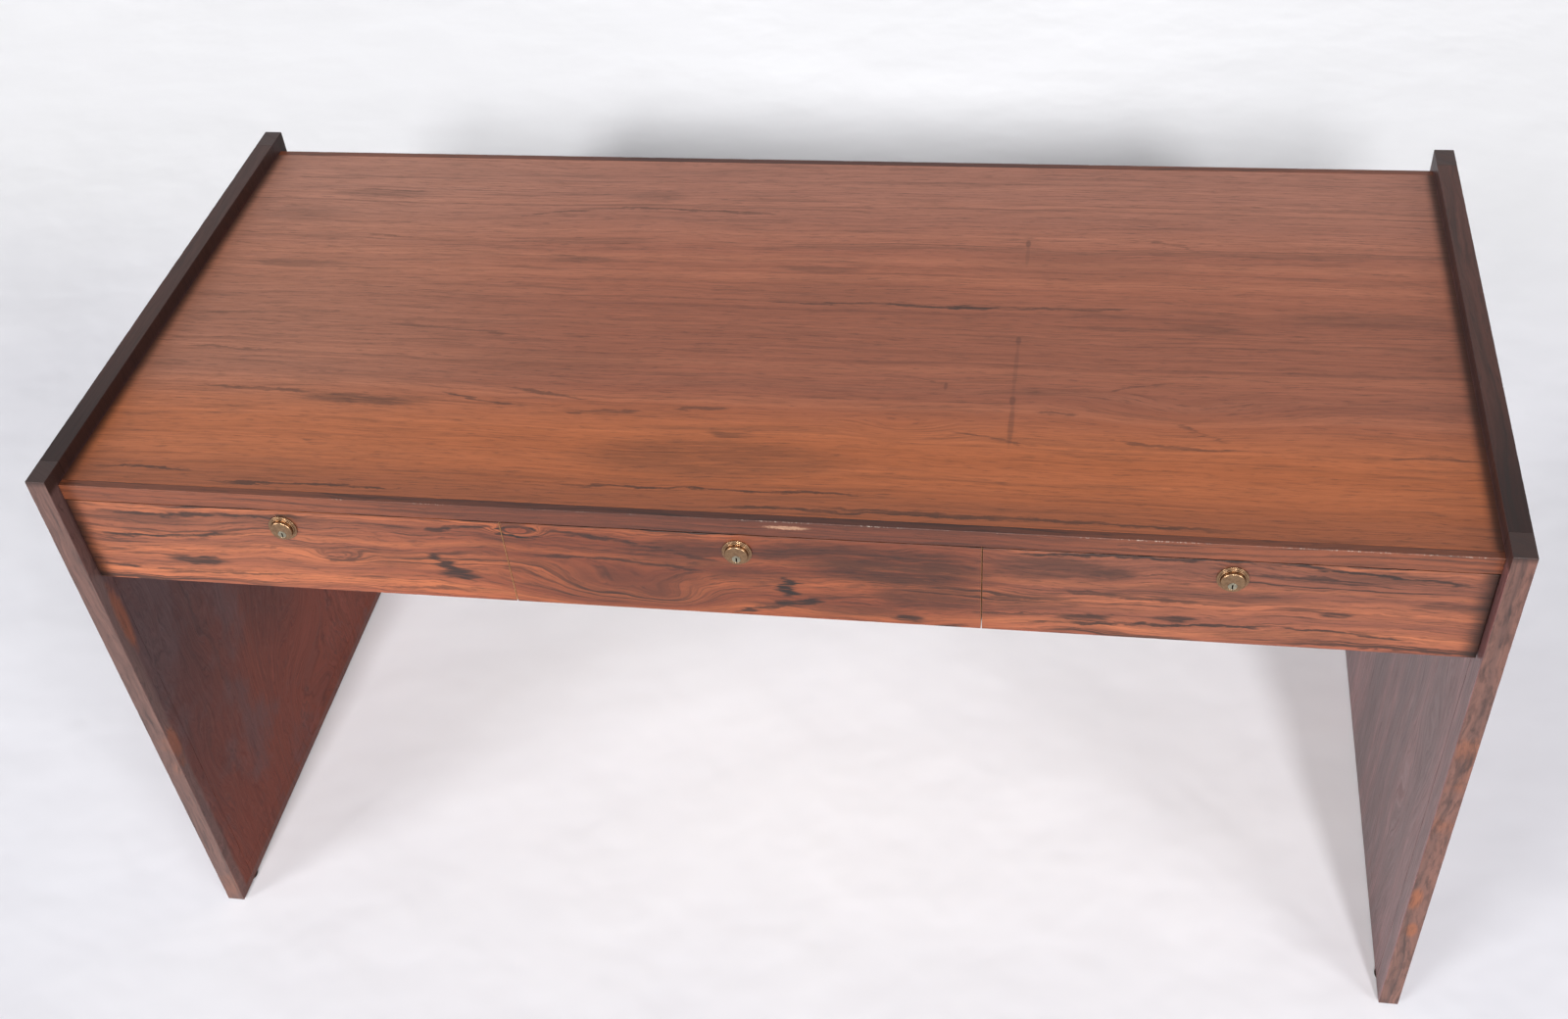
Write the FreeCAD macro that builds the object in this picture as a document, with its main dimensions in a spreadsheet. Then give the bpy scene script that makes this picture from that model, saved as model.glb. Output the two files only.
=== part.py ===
"""Slab-sided office desk with three locking drawers.

Millimetres. X runs along the width, -Y is the front and Z is up. The origin lies on the floor, under the
middle of the desk. Left and right are those of a person sitting at it.
"""
import FreeCAD, Part
import os
import Sketcher

doc = FreeCAD.newDocument("office_desk")

# Driving dimensions
DRIVING = (
    ("desk_width", "1530", "over the side panels"),
    ("desk_depth", "724", "side panels, front to back"),
    ("desk_height", "750", "floor to the top edge of the side panels"),
    ("arris", "0.8", "bevel of the edges that show"),
    ("glue_gap", "0.1", "clearance of every glued or screwed joint"),
    ("running_gap", "0.3", "clearance of every sliding joint"),
    ("side_thickness", "23", "side panels"),
    ("side_rise", "18.5", "side panels above the work surface"),
    ("front_recess", "18", "side panels in front of the drawer fronts"),
    ("back_recess", "17.5", "side panels behind the top"),
    ("stile_width", "36", "solid lippings at front and back of a side panel"),
    ("head_lipping", "42", "solid lipping along the top of a side panel"),
    ("base_lipping", "31", "solid lipping along the foot of a side panel"),
    ("top_thickness", "20.5", "work surface board"),
    ("top_lipping", "10", "solid lippings at front and back of the top"),
    ("tongue_thickness", "8", "tongues that join top, rail, dividers and sides"),
    ("tongue_length", "9", "tongues into their grooves"),
    ("tongue_inset", "24", "ends of the long tongues in from the board's ends"),
    ("tongue_shoulder", "12", "ends of the upright tongues in from the board's edges"),
    ("front_height", "114", "drawer fronts"),
    ("front_thickness", "20", "drawer fronts"),
    ("front_gap", "1", "between the fronts and round them"),
    ("rail_thickness", "18", "back rail"),
    ("divider_thickness", "20", "dividers between the drawers"),
    ("divider_lift", "15", "dividers' lower edge above the lower edge of the fronts"),
    ("divider_front_gap", "1.5", "drawer fronts to the dividers"),
    ("side_play", "1.5", "drawer box to the wall of its bay"),
    ("box_side_thickness", "14", "drawer sides"),
    ("box_lift", "12", "drawer box above the lower edge of its front"),
    ("box_headroom", "18", "drawer box below the upper edge of its front"),
    ("box_round", "2.5", "rounding of the drawer box's upper edges"),
    ("drawer_back_gap", "120", "drawer box to the back rail"),
    ("housing_depth", "8", "drawer sides let into the front"),
    ("back_thickness", "12", "drawer back"),
    ("back_housing", "5", "drawer back let into the sides"),
    ("back_inset", "10", "drawer back in front of the ends of the sides"),
    ("back_drop", "6", "drawer back below the upper edge of the sides"),
    ("bottom_thickness", "5", "drawer bottom"),
    ("bottom_lift", "8", "drawer bottom above the lower edge of the sides"),
    ("bottom_groove", "6", "depth of the groove that holds the drawer bottom"),
    ("runner_height", "10", "drawer runners"),
    ("runner_rise", "40", "runners above the lower edge of the drawer sides"),
    ("runner_stop", "30", "runners behind the drawer fronts"),
    ("runner_back_gap", "60", "runners to the back rail"),
    ("runner_lead", "3", "bevel of the runners' front corner"),
    ("groove_depth", "6.5", "runner groove in the drawer side"),
    ("glide_diameter", "24", "floor glides"),
    ("glide_height", "3", "floor glides"),
    ("glide_setback", "44", "glides from the front and back edges of a side panel"),
    ("glide_margin", "0.5", "glides in from the outer face of a side panel"),
    ("lock_drop", "23", "lock cylinder below the upper edge of its front"),
    ("barrel_diameter", "20", "lock cylinder where it passes the drawer front"),
    ("head_lip", "2", "head of the lock cylinder beyond its shank"),
    ("head_rise", "7", "face of the lock cylinder in front of the wood"),
    ("head_bevel", "0.7", "rim of the lock cylinder's face"),
    ("step_wall", "1.6", "raised inner ring of the rosette"),
    ("step_height", "3.6", "raised inner ring of the rosette"),
    ("flange_width", "2.1", "outer ring of the rosette"),
    ("flange_height", "1.8", "outer ring of the rosette"),
    ("plug_diameter", "9", "turning plug of the lock"),
    ("plug_wall", "1.1", "lock cylinder below the plug"),
    ("running_fit", "0.05", "plug in its bore"),
    ("keyway_width", "1.5", "slot for the key"),
    ("keyway_height", "5.6", "slot for the key"),
    ("keyway_drop", "0.8", "middle of the slot below the plug's axis"),
    ("keyway_depth", "15", "slot for the key"),
    ("dimple_diameter", "4.4", "countersink round the slot"),
    ("dimple_depth", "0.8", "countersink round the slot"),
    ("cam_thickness", "1.5", "driving cam on the plug"),
    ("cam_rim", "0.8", "driving cam beyond its pin"),
    ("pin_throw", "5", "driving pin from the plug's axis"),
    ("pin_diameter", "4", "driving pin"),
    ("slot_gap", "0.5", "driving pin in the bolt's slot"),
    ("bolt_width", "24", "lock bolt"),
    ("bolt_shoulder_width", "4", "lock bolt's body beyond its nose, on each side"),
    ("bolt_thickness", "7", "lock bolt"),
    ("bolt_web", "3", "lock bolt below its slot"),
    ("bolt_body_height", "23", "lock bolt below its nose"),
    ("bolt_rest_gap", "2", "withdrawn bolt below the top"),
    ("case_wall", "1.2", "sheet of the lock case"),
    ("case_flange", "9", "screwed ears of the lock case"),
    ("strike_thickness", "1.5", "strike plates"),
    ("strike_gap", "0.6", "bolt in the strike"),
    ("strike_ear", "11", "strike plate beyond its slot, along the front"),
    ("strike_rim", "4", "strike plate beyond its slot, front and back"),
)

# Places and sizes worked out from the driving dimensions, in the desk's frame unless a line says otherwise
LAYOUT = (
    ("panel_front", "-dims.desk_depth / 2"),
    ("panel_back", "dims.desk_depth / 2"),
    ("panel_left", "-dims.desk_width / 2"),
    ("inner_half", "dims.desk_width / 2 - dims.side_thickness"),
    ("inner_width", "2 * inner_half"),
    ("core_front", "panel_front + dims.stile_width"),
    ("core_depth", "dims.desk_depth - 2 * dims.stile_width"),
    ("core_bottom", "dims.glide_height + dims.base_lipping"),
    ("core_top", "dims.desk_height - dims.head_lipping"),
    ("top_surface", "dims.desk_height - dims.side_rise"),
    ("top_underside", "top_surface - dims.top_thickness"),
    ("face", "panel_front + dims.front_recess"),
    ("rear", "panel_back - dims.back_recess"),
    ("top_core_front", "face + dims.top_lipping"),
    ("top_core_depth", "rear - face - 2 * dims.top_lipping"),
    ("groove_width", "dims.tongue_thickness + 2 * dims.glue_gap"),
    ("groove_reach", "dims.tongue_length + dims.glue_gap"),
    ("tongue_front", "core_front + dims.tongue_inset"),
    ("tongue_width", "core_depth - 2 * dims.tongue_inset"),
    ("tongue_bottom", "top_underside + (dims.top_thickness - dims.tongue_thickness) / 2"),
    ("front_top", "top_underside - dims.front_gap"),
    ("front_bottom", "front_top - dims.front_height"),
    ("front_back", "face + dims.front_thickness"),
    ("rail_front", "rear - dims.rail_thickness"),
    ("rail_height", "dims.front_height + dims.front_gap"),
    ("rail_tongue_height", "rail_height - 2 * dims.tongue_shoulder"),
    ("bay_width", "(inner_width - 2 * dims.divider_thickness) / 3"),
    ("divider_centre", "(bay_width + dims.divider_thickness) / 2"),
    ("divider_left", "-divider_centre - dims.divider_thickness / 2"),
    ("divider_front", "front_back + dims.divider_front_gap"),
    ("divider_length", "rail_front - divider_front"),
    ("divider_bottom", "front_bottom + dims.divider_lift"),
    ("divider_height", "top_underside - divider_bottom"),
    ("divider_tongue_length", "divider_length - 2 * dims.tongue_inset"),
    ("divider_tongue_height", "divider_height - 2 * dims.tongue_shoulder"),
    ("left_front", "-inner_half + dims.front_gap"),
    ("left_front_width", "inner_half - divider_centre - 1.5 * dims.front_gap"),
    ("middle_front", "-divider_centre + dims.front_gap / 2"),
    ("middle_front_width", "2 * divider_centre - dims.front_gap"),
    ("box_width", "bay_width - 2 * dims.side_play"),
    ("box_inner_width", "box_width - 2 * dims.box_side_thickness"),
    ("box_bottom", "front_bottom + dims.box_lift"),
    ("box_height", "dims.front_height - dims.box_lift - dims.box_headroom"),
    ("box_length", "rail_front - front_back - dims.drawer_back_gap"),
    ("side_front", "front_back - dims.housing_depth"),
    ("side_length", "box_length + dims.housing_depth"),
    ("left_box", "-inner_half + dims.side_play"),
    ("middle_box", "-bay_width / 2 + dims.side_play"),
    ("bottom_slot", "dims.bottom_thickness + 2 * dims.glue_gap"),
    ("bottom_width", "box_inner_width + 2 * (dims.bottom_groove - dims.glue_gap)"),
    ("bottom_front", "front_back - dims.bottom_groove + dims.glue_gap"),
    ("bottom_length", "front_back + box_length - bottom_front"),
    ("back_front", "front_back + box_length - dims.back_inset - dims.back_thickness"),
    ("back_lift", "dims.bottom_lift + bottom_slot"),
    ("back_height", "box_height - back_lift - dims.back_drop"),
    ("runner_thickness", "dims.side_play + dims.groove_depth - dims.running_gap"),
    ("runner_bottom", "box_bottom + dims.runner_rise"),
    ("runner_front", "front_back + dims.runner_stop"),
    ("runner_length", "rail_front - dims.runner_back_gap - runner_front"),
    ("runner_groove_front", "runner_front - side_front - dims.running_gap"),
    ("runner_groove_height", "dims.runner_height + 2 * dims.running_gap"),
    ("glide_centre", "panel_left + dims.glide_margin + dims.glide_diameter / 2"),
    ("left_lock", "left_front + left_front_width / 2"),
    ("middle_lock", "middle_front + middle_front_width / 2"),
    ("right_lock", "-left_lock"),
    ("lock_height", "front_top - dims.lock_drop"),
    ("barrel_radius", "dims.barrel_diameter / 2"),
    ("head_radius", "barrel_radius + dims.head_lip"),
    ("ring_radius", "head_radius + dims.glue_gap"),
    ("step_radius", "ring_radius + dims.step_wall"),
    ("rosette_radius", "step_radius + dims.flange_width"),
    ("plug_drop", "barrel_radius - dims.plug_wall - dims.plug_diameter / 2 - dims.running_fit"),
    ("plug_height", "lock_height - plug_drop"),
    # Lock parts, measured back from the face of the drawer front and up from the plug's axis
    ("pin_offset", "dims.pin_throw / sqrt(2)"),
    ("bolt_travel", "2 * pin_offset"),
    ("cam_half", "dims.pin_diameter / 2 + dims.cam_rim"),
    ("cam_reach", "pin_offset + cam_half"),
    ("cam_front", "dims.front_thickness + dims.running_gap"),
    ("cam_back", "cam_front + dims.cam_thickness"),
    ("bolt_front", "cam_back + dims.running_gap"),
    ("bolt_back", "bolt_front + dims.bolt_thickness"),
    ("bolt_middle", "(bolt_front + bolt_back) / 2"),
    ("slot_height", "dims.pin_diameter + 2 * dims.slot_gap"),
    ("slot_left", "pin_offset - slot_height / 2"),
    ("slot_width", "dims.pin_throw - pin_offset + slot_height"),
    ("slot_low", "-pin_offset - slot_height / 2"),
    ("bolt_low", "slot_low - dims.bolt_web"),
    ("bolt_shoulder", "bolt_low + dims.bolt_body_height"),
    ("bolt_top", "top_underside - dims.bolt_rest_gap - plug_height"),
    ("nose_width", "dims.bolt_width - 2 * dims.bolt_shoulder_width"),
    ("case_inner_width", "dims.bolt_width + 2 * dims.running_gap"),
    ("case_inner_low", "bolt_low - dims.running_gap"),
    ("case_inner_high", "bolt_shoulder + bolt_travel + dims.running_gap"),
    ("case_inner_back", "bolt_back + dims.running_gap"),
    ("case_width", "case_inner_width + 2 * dims.case_wall"),
    ("case_low", "case_inner_low - dims.case_wall"),
    ("case_height", "case_inner_high + dims.case_wall - case_low"),
    ("ear_width", "case_width + 2 * dims.case_flange"),
    ("strike_slot_length", "nose_width + 2 * dims.strike_gap"),
    ("strike_slot_depth", "dims.bolt_thickness + 2 * dims.strike_gap"),
    ("strike_length", "strike_slot_length + 2 * dims.strike_ear"),
    ("strike_depth", "strike_slot_depth + 2 * dims.strike_rim"),
    ("mortise_depth", "bolt_travel - dims.bolt_rest_gap + dims.strike_gap"),
)

dims = doc.addObject("Spreadsheet::Sheet", "dims")
for row, (alias, size, note) in enumerate(DRIVING, start=1):
    dims.set(f"A{row}", note)
    dims.set(f"B{row}", size)
    dims.setAlias(f"B{row}", alias)
layout = doc.addObject("Spreadsheet::Sheet", "layout")
for row, (alias, formula) in enumerate(LAYOUT, start=1):
    layout.set(f"A{row}", "=" + formula)
    layout.setAlias(f"A{row}", alias)
doc.recompute()

nodes = []

# The way that a sketch on each of a body's planes grows
PAD_DIRECTION = {"YZ": "+", "XZ": "-", "XY": "+"}
TOUCHING = 1e-6


# Helpers that draw on a body's own planes
def number(expression):
    """The value of an expression on the sheets."""
    return float(layout.evalExpression(expression))


def new_body(label, x="0", y="0", z="0", kept=True):
    """A sub-part with its own corner or axis as origin, placed by three expressions."""
    body = doc.addObject("PartDesign::Body", label)
    body.Label = label
    body.setExpression("Placement.Base.x", x)
    body.setExpression("Placement.Base.y", y)
    body.setExpression("Placement.Base.z", z)
    if kept:
        nodes.append(body)
    return body


def new_sketch(body, name, plane, at="0"):
    """A sketch on one of the body's planes, moved along that plane's axis to the coordinate given."""
    support = next(f for f in body.Origin.OriginFeatures if f.Role == plane + "_Plane")
    sketch = body.newObject("Sketcher::SketchObject", name)
    sketch.AttachmentSupport = [(support, "")]
    sketch.MapMode = "FlatFace"
    offset = f"-({at})" if PAD_DIRECTION[plane] == "-" else at
    sketch.setExpression("AttachmentOffset.Base.z", offset)
    return sketch


def hold(sketch, kind, expression, *where):
    """Adds a constraint whose value follows an expression."""
    index = sketch.addConstraint(Sketcher.Constraint(kind, *where, number(expression)))
    sketch.setExpression(f"Constraints[{index}]", expression)


def draw_outline(sketch, points):
    """A closed outline of straight lines through points given as pairs of expressions."""
    corners = [FreeCAD.Vector(number(x), number(y), 0) for x, y in points]
    first = sketch.GeometryCount
    for start, end in zip(corners, corners[1:] + corners[:1]):
        sketch.addGeometry(Part.LineSegment(start, end), False)
    count = len(points)
    for step, (x, y) in enumerate(points):
        line = first + step
        before = first + (step - 1) % count
        sketch.addConstraint(Sketcher.Constraint("Coincident", before, 2, line, 1))
        hold(sketch, "DistanceX", x, -1, 1, line, 1)
        hold(sketch, "DistanceY", y, -1, 1, line, 1)


def draw_rectangle(sketch, left, low, width, height):
    """A rectangle held by its lower left corner, its width and its height."""
    x, y = number(left), number(low)
    wide, high = number(width), number(height)
    corners = [FreeCAD.Vector(x, y, 0), FreeCAD.Vector(x + wide, y, 0)]
    corners += [FreeCAD.Vector(x + wide, y + high, 0), FreeCAD.Vector(x, y + high, 0)]
    first = sketch.GeometryCount
    for step in range(4):
        sketch.addGeometry(Part.LineSegment(corners[step], corners[(step + 1) % 4]), False)
    for step in range(4):
        after = first + (step + 1) % 4
        sketch.addConstraint(Sketcher.Constraint("Coincident", first + step, 2, after, 1))
        direction = "Vertical" if step % 2 else "Horizontal"
        sketch.addConstraint(Sketcher.Constraint(direction, first + step))
    hold(sketch, "DistanceX", left, -1, 1, first, 1)
    hold(sketch, "DistanceY", low, -1, 1, first, 1)
    hold(sketch, "DistanceX", width, first, 1, first, 2)
    hold(sketch, "DistanceY", height, first + 1, 1, first + 1, 2)


def draw_circle(sketch, x, y, diameter):
    """A circle held by its centre and its diameter."""
    centre = FreeCAD.Vector(number(x), number(y), 0)
    circle = sketch.addGeometry(Part.Circle(centre, FreeCAD.Vector(0, 0, 1), number(diameter) / 2), False)
    hold(sketch, "DistanceX", x, -1, 1, circle, 3)
    hold(sketch, "DistanceY", y, -1, 1, circle, 3)
    hold(sketch, "Diameter", diameter, circle)


# Helpers that add to a body or cut it
def pad(body, name, sketch, plane, length, toward="+"):
    """Grows a sketch along its plane's axis."""
    feature = body.newObject("PartDesign::Pad", name)
    feature.Profile = sketch
    feature.Reversed = toward != PAD_DIRECTION[plane]
    feature.setExpression("Length", length)
    doc.recompute()
    return feature


def pocket(body, name, sketch, plane, depth, toward):
    """Cuts a sketch into the body along its plane's axis, and makes sure that it took something away."""
    before = body.Tip.Shape.Volume
    feature = body.newObject("PartDesign::Pocket", name)
    feature.Profile = sketch
    feature.Reversed = toward == PAD_DIRECTION[plane]
    feature.setExpression("Length", depth)
    doc.recompute()
    if not feature.Shape.Volume < before:
        raise ValueError(f"{body.Label}: {name} cuts nothing")
    return feature


def revolve(body, name, sketch, kind="PartDesign::Revolution"):
    """Turns a sketch round its own upright axis."""
    feature = body.newObject(kind, name)
    feature.Profile = sketch
    feature.ReferenceAxis = (sketch, ["V_Axis"])
    feature.Angle = 360
    doc.recompute()
    return feature


def dress_edges(body, name, kind, size_property, size, chosen):
    """Works the edges of the body for which chosen(edge box, body box) is true."""
    base = body.Tip
    whole = base.Shape.BoundBox
    edges = [f"Edge{i}" for i, edge in enumerate(base.Shape.Edges, start=1) if chosen(edge.BoundBox, whole)]
    feature = body.newObject(kind, name)
    feature.Base = (base, edges)
    feature.setExpression(size_property, size)
    doc.recompute()
    return feature


def bevel_edges(body, chosen, size="dims.arris"):
    return dress_edges(body, "bevelled_edges", "PartDesign::Chamfer", "Size", size, chosen)


def round_edges(body, radius, chosen):
    return dress_edges(body, "rounded_edges", "PartDesign::Fillet", "Radius", radius, chosen)


def add_block(body, name, plane, at, rectangle, length):
    """A tongue, ear or tray that stands on the body."""
    sketch = new_sketch(body, name + "_outline", plane, at)
    draw_rectangle(sketch, *rectangle)
    return pad(body, name, sketch, plane, length)


def cut_block(body, name, plane, at, rectangle, depth, toward):
    """A groove, housing or mortise with a rectangular mouth."""
    sketch = new_sketch(body, name + "_mouth", plane, at)
    draw_rectangle(sketch, *rectangle)
    return pocket(body, name, sketch, plane, depth, toward)


def drill(body, name, plane, at, centres, diameter, depth, toward):
    """Round holes of one size."""
    sketch = new_sketch(body, name + "_mouth", plane, at)
    for x, y in centres:
        draw_circle(sketch, x, y, diameter)
    return pocket(body, name, sketch, plane, depth, toward)


def board(label, place, width, depth, height):
    """A plain board with its lower front left corner at the place given."""
    body = new_body(label, *place)
    add_block(body, "board", "XY", "0", ("0", "0", width, depth), height)
    return body


def mirror(label, source, middle="0"):
    """The same piece for the other hand, mirrored in an upright plane across X."""
    other = doc.addObject("Part::Mirroring", label)
    other.Label = label
    other.Source = source
    other.Normal = FreeCAD.Vector(1, 0, 0)
    other.setExpression("Base.x", middle)
    nodes.append(other)
    return other


# Edges that are chosen for a bevel or a rounding
def on_front_face(edge, whole):
    return edge.YMax < whole.YMin + TOUCHING


def on_back_face(edge, whole):
    return edge.YMin > whole.YMax - TOUCHING


def on_top_face(edge, whole):
    return edge.ZMin > whole.ZMax - TOUCHING


def on_underside(edge, whole):
    return edge.ZMax < whole.ZMin + TOUCHING


def along_top(edge, whole):
    return on_top_face(edge, whole) and edge.YLength > edge.XLength


def across_top(edge, whole):
    return on_top_face(edge, whole) and edge.XLength > edge.YLength


# Side panels: a veneered core in a frame of solid lippings
def side_panels():
    thickness, left = "dims.side_thickness", "layout.panel_left"
    core = board("left_side_panel", (left, "layout.core_front", "layout.core_bottom"),
                 thickness, "layout.core_depth", "layout.core_top - layout.core_bottom")

    stile = (thickness, "dims.stile_width", "dims.desk_height - dims.glide_height")
    front = board("left_front_lipping", (left, "layout.panel_front", "dims.glide_height"), *stile)
    bevel_edges(front, lambda e, w: on_front_face(e, w) or along_top(e, w))

    stile_start = "(layout.panel_back - dims.stile_width)"
    back = board("left_back_lipping", (left, stile_start, "dims.glide_height"), *stile)
    bevel_edges(back, lambda e, w: on_back_face(e, w) or along_top(e, w))
    rail_middle = "layout.rail_front + dims.rail_thickness / 2"
    mouth = (f"{rail_middle} - layout.groove_width / 2 - {stile_start}",
             "layout.front_bottom + dims.tongue_shoulder - dims.glide_height - dims.glue_gap",
             "layout.groove_width", "layout.rail_tongue_height + 2 * dims.glue_gap")
    cut_block(back, "rail_groove", "YZ", thickness, mouth, "layout.groove_reach", "-")

    head = board("left_top_lipping", (left, "layout.core_front", "layout.core_top"),
                 thickness, "layout.core_depth", "dims.head_lipping")
    bevel_edges(head, along_top)
    mouth = ("layout.tongue_front - layout.core_front - dims.glue_gap",
             "layout.tongue_bottom - layout.core_top - dims.glue_gap",
             "layout.tongue_width + 2 * dims.glue_gap", "layout.groove_width")
    cut_block(head, "top_groove", "YZ", thickness, mouth, "layout.groove_reach", "-")

    base = board("left_bottom_lipping", (left, "layout.core_front", "dims.glide_height"),
                 thickness, "layout.core_depth", "dims.base_lipping")
    for piece in (core, front, back, head, base):
        mirror(piece.Label.replace("left", "right", 1), piece)


# Top: a board between the side panels, tongued into them, with solid lippings at front and back
def top():
    place = ("-layout.inner_half", "layout.top_core_front", "layout.top_underside")
    panel = board("top_panel", place, "layout.inner_width", "layout.top_core_depth", "dims.top_thickness")
    ends = ("-dims.tongue_length", "layout.tongue_front - layout.top_core_front",
            "layout.inner_width + 2 * dims.tongue_length", "layout.tongue_width")
    add_block(panel, "tongues", "XY", "layout.tongue_bottom - layout.top_underside", ends, "dims.tongue_thickness")

    for side, sign in (("left", -1), ("right", 1)):
        mouth = (f"layout.inner_half + {sign} * layout.divider_centre - layout.groove_width / 2",
                 "layout.divider_front + dims.tongue_inset - dims.glue_gap - layout.top_core_front",
                 "layout.groove_width", "layout.divider_tongue_length + 2 * dims.glue_gap")
        cut_block(panel, f"{side}_divider_groove", "XY", "0", mouth, "layout.groove_reach", "+")
    middle = "layout.bolt_middle - dims.top_lipping"
    for name in LOCKS:
        across = f"layout.inner_half + layout.{name}_lock"
        seat = (f"{across} - layout.strike_length / 2 - dims.glue_gap",
                f"{middle} - layout.strike_depth / 2 - dims.glue_gap",
                "layout.strike_length + 2 * dims.glue_gap", "layout.strike_depth + 2 * dims.glue_gap")
        cut_block(panel, f"{name}_strike_seat", "XY", "0", seat, "dims.strike_thickness", "+")
        mouth = (f"{across} - layout.strike_slot_length / 2", f"{middle} - layout.strike_slot_depth / 2",
                 "layout.strike_slot_length", "layout.strike_slot_depth")
        cut_block(panel, f"{name}_bolt_mortise", "XY", "0", mouth, "layout.mortise_depth", "+")

    lipping = ("layout.inner_width", "dims.top_lipping", "dims.top_thickness")
    front = board("top_front_lipping", ("-layout.inner_half", "layout.face", "layout.top_underside"), *lipping)
    bevel_edges(front, lambda e, w: on_front_face(e, w) and e.XLength > e.ZLength)
    back_place = ("-layout.inner_half", "layout.rear - dims.top_lipping", "layout.top_underside")
    back = board("top_back_lipping", back_place, *lipping)
    bevel_edges(back, lambda e, w: on_back_face(e, w) and on_top_face(e, w))


# Back rail and dividers, tongued into the sides, the top and each other
def back_rail():
    place = ("-layout.inner_half", "layout.rail_front", "layout.front_bottom")
    rail = board("back_rail", place, "layout.inner_width", "dims.rail_thickness", "layout.rail_height")
    bevel_edges(rail, lambda e, w: on_back_face(e, w) and on_underside(e, w))
    ends = ("-dims.tongue_length", "(dims.rail_thickness - dims.tongue_thickness) / 2",
            "layout.inner_width + 2 * dims.tongue_length", "dims.tongue_thickness")
    add_block(rail, "tongues", "XY", "dims.tongue_shoulder", ends, "layout.rail_tongue_height")
    for side, sign in (("left", -1), ("right", 1)):
        mouth = (f"layout.inner_half + {sign} * layout.divider_centre - layout.groove_width / 2",
                 "dims.divider_lift + dims.tongue_shoulder - dims.glue_gap",
                 "layout.groove_width", "layout.divider_tongue_height + 2 * dims.glue_gap")
        cut_block(rail, f"{side}_divider_groove", "XZ", "0", mouth, "layout.groove_reach", "+")


def dividers():
    place = ("layout.divider_left", "layout.divider_front", "layout.divider_bottom")
    left = board("left_divider", place, "dims.divider_thickness", "layout.divider_length", "layout.divider_height")
    cheek = "(dims.divider_thickness - dims.tongue_thickness) / 2"
    upper = (cheek, "dims.tongue_inset", "dims.tongue_thickness", "layout.divider_tongue_length")
    add_block(left, "upper_tongue", "XY", "layout.divider_height", upper, "dims.tongue_length")
    rear = (cheek, "dims.tongue_shoulder", "dims.tongue_thickness", "layout.divider_tongue_height")
    add_block(left, "rear_tongue", "XZ", "layout.divider_length", rear, "dims.tongue_length")
    mirror("right_divider", left)


# Runners: strips on the bay walls that the grooved drawer sides hang on
def runner(label, x, wall_on_left):
    body = board(label, (x, "layout.runner_front", "layout.runner_bottom"), "layout.runner_thickness",
                 "layout.runner_length", "dims.runner_height")

    def leading_corner(edge, whole):
        free_side = whole.XMax if wall_on_left else whole.XMin
        return on_front_face(edge, whole) and abs(edge.Center.x - free_side) < TOUCHING

    bevel_edges(body, leading_corner, "dims.runner_lead")
    return body


def runners():
    outer = runner("left_drawer_left_runner", "-layout.inner_half", True)
    inner = runner("left_drawer_right_runner", "layout.divider_left - layout.runner_thickness", False)
    centre = runner("middle_drawer_left_runner", "layout.divider_left + dims.divider_thickness", True)
    mirror("middle_drawer_right_runner", centre)
    mirror("right_drawer_left_runner", inner)
    mirror("right_drawer_right_runner", outer)


# Drawers: an overlay front, with the box's sides housed in its back and the bottom in grooves
def drawer_front(name):
    front_left, back = f"layout.{name}_front", "dims.front_thickness"
    box = f"(layout.{name}_box - {front_left})"
    front = board(f"{name}_drawer_front", (front_left, "layout.face", "layout.front_bottom"),
                  f"layout.{name}_front_width", back, "dims.front_height")
    bevel_edges(front, on_front_face)
    for side, start in (("left", box), ("right", f"{box} + layout.box_width - dims.box_side_thickness")):
        mouth = (f"{start} - dims.glue_gap", "dims.box_lift - dims.glue_gap",
                 "dims.box_side_thickness + 2 * dims.glue_gap", "layout.box_height + 2 * dims.glue_gap")
        cut_block(front, f"{side}_housing", "XZ", back, mouth, "dims.housing_depth", "-")
    slot = (f"{box} + dims.box_side_thickness - dims.bottom_groove", "dims.box_lift + dims.bottom_lift",
            "layout.bottom_width + 2 * dims.glue_gap", "layout.bottom_slot")
    cut_block(front, "bottom_groove", "XZ", back, slot, "dims.bottom_groove", "-")
    lock = (f"layout.{name}_lock - {front_left}", "layout.lock_height - layout.front_bottom")
    drill(front, "lock_hole", "XZ", "0", [lock], "dims.barrel_diameter + 2 * dims.glue_gap", back, "+")
    return front


def drawer_side(name):
    """The left side of a drawer: grooved outside for its runner and inside for bottom and back."""
    side = board(f"{name}_drawer_left_side", (f"layout.{name}_box", "layout.side_front", "layout.box_bottom"),
                 "dims.box_side_thickness", "layout.side_length", "layout.box_height")
    round_edges(side, "dims.box_round", along_top)
    inside = "dims.box_side_thickness"
    mouth = ("layout.runner_groove_front", "dims.runner_rise - dims.running_gap",
             "layout.side_length - layout.runner_groove_front", "layout.runner_groove_height")
    cut_block(side, "runner_groove", "YZ", "0", mouth, "dims.groove_depth", "+")
    slot = ("0", "dims.bottom_lift", "layout.side_length", "layout.bottom_slot")
    cut_block(side, "bottom_groove", "YZ", inside, slot, "dims.bottom_groove", "-")
    housing = ("layout.back_front - layout.side_front - dims.glue_gap", "layout.back_lift",
               "dims.back_thickness + 2 * dims.glue_gap", "layout.back_height + dims.glue_gap")
    cut_block(side, "back_housing", "YZ", inside, housing, "dims.back_housing", "-")
    return side


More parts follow.
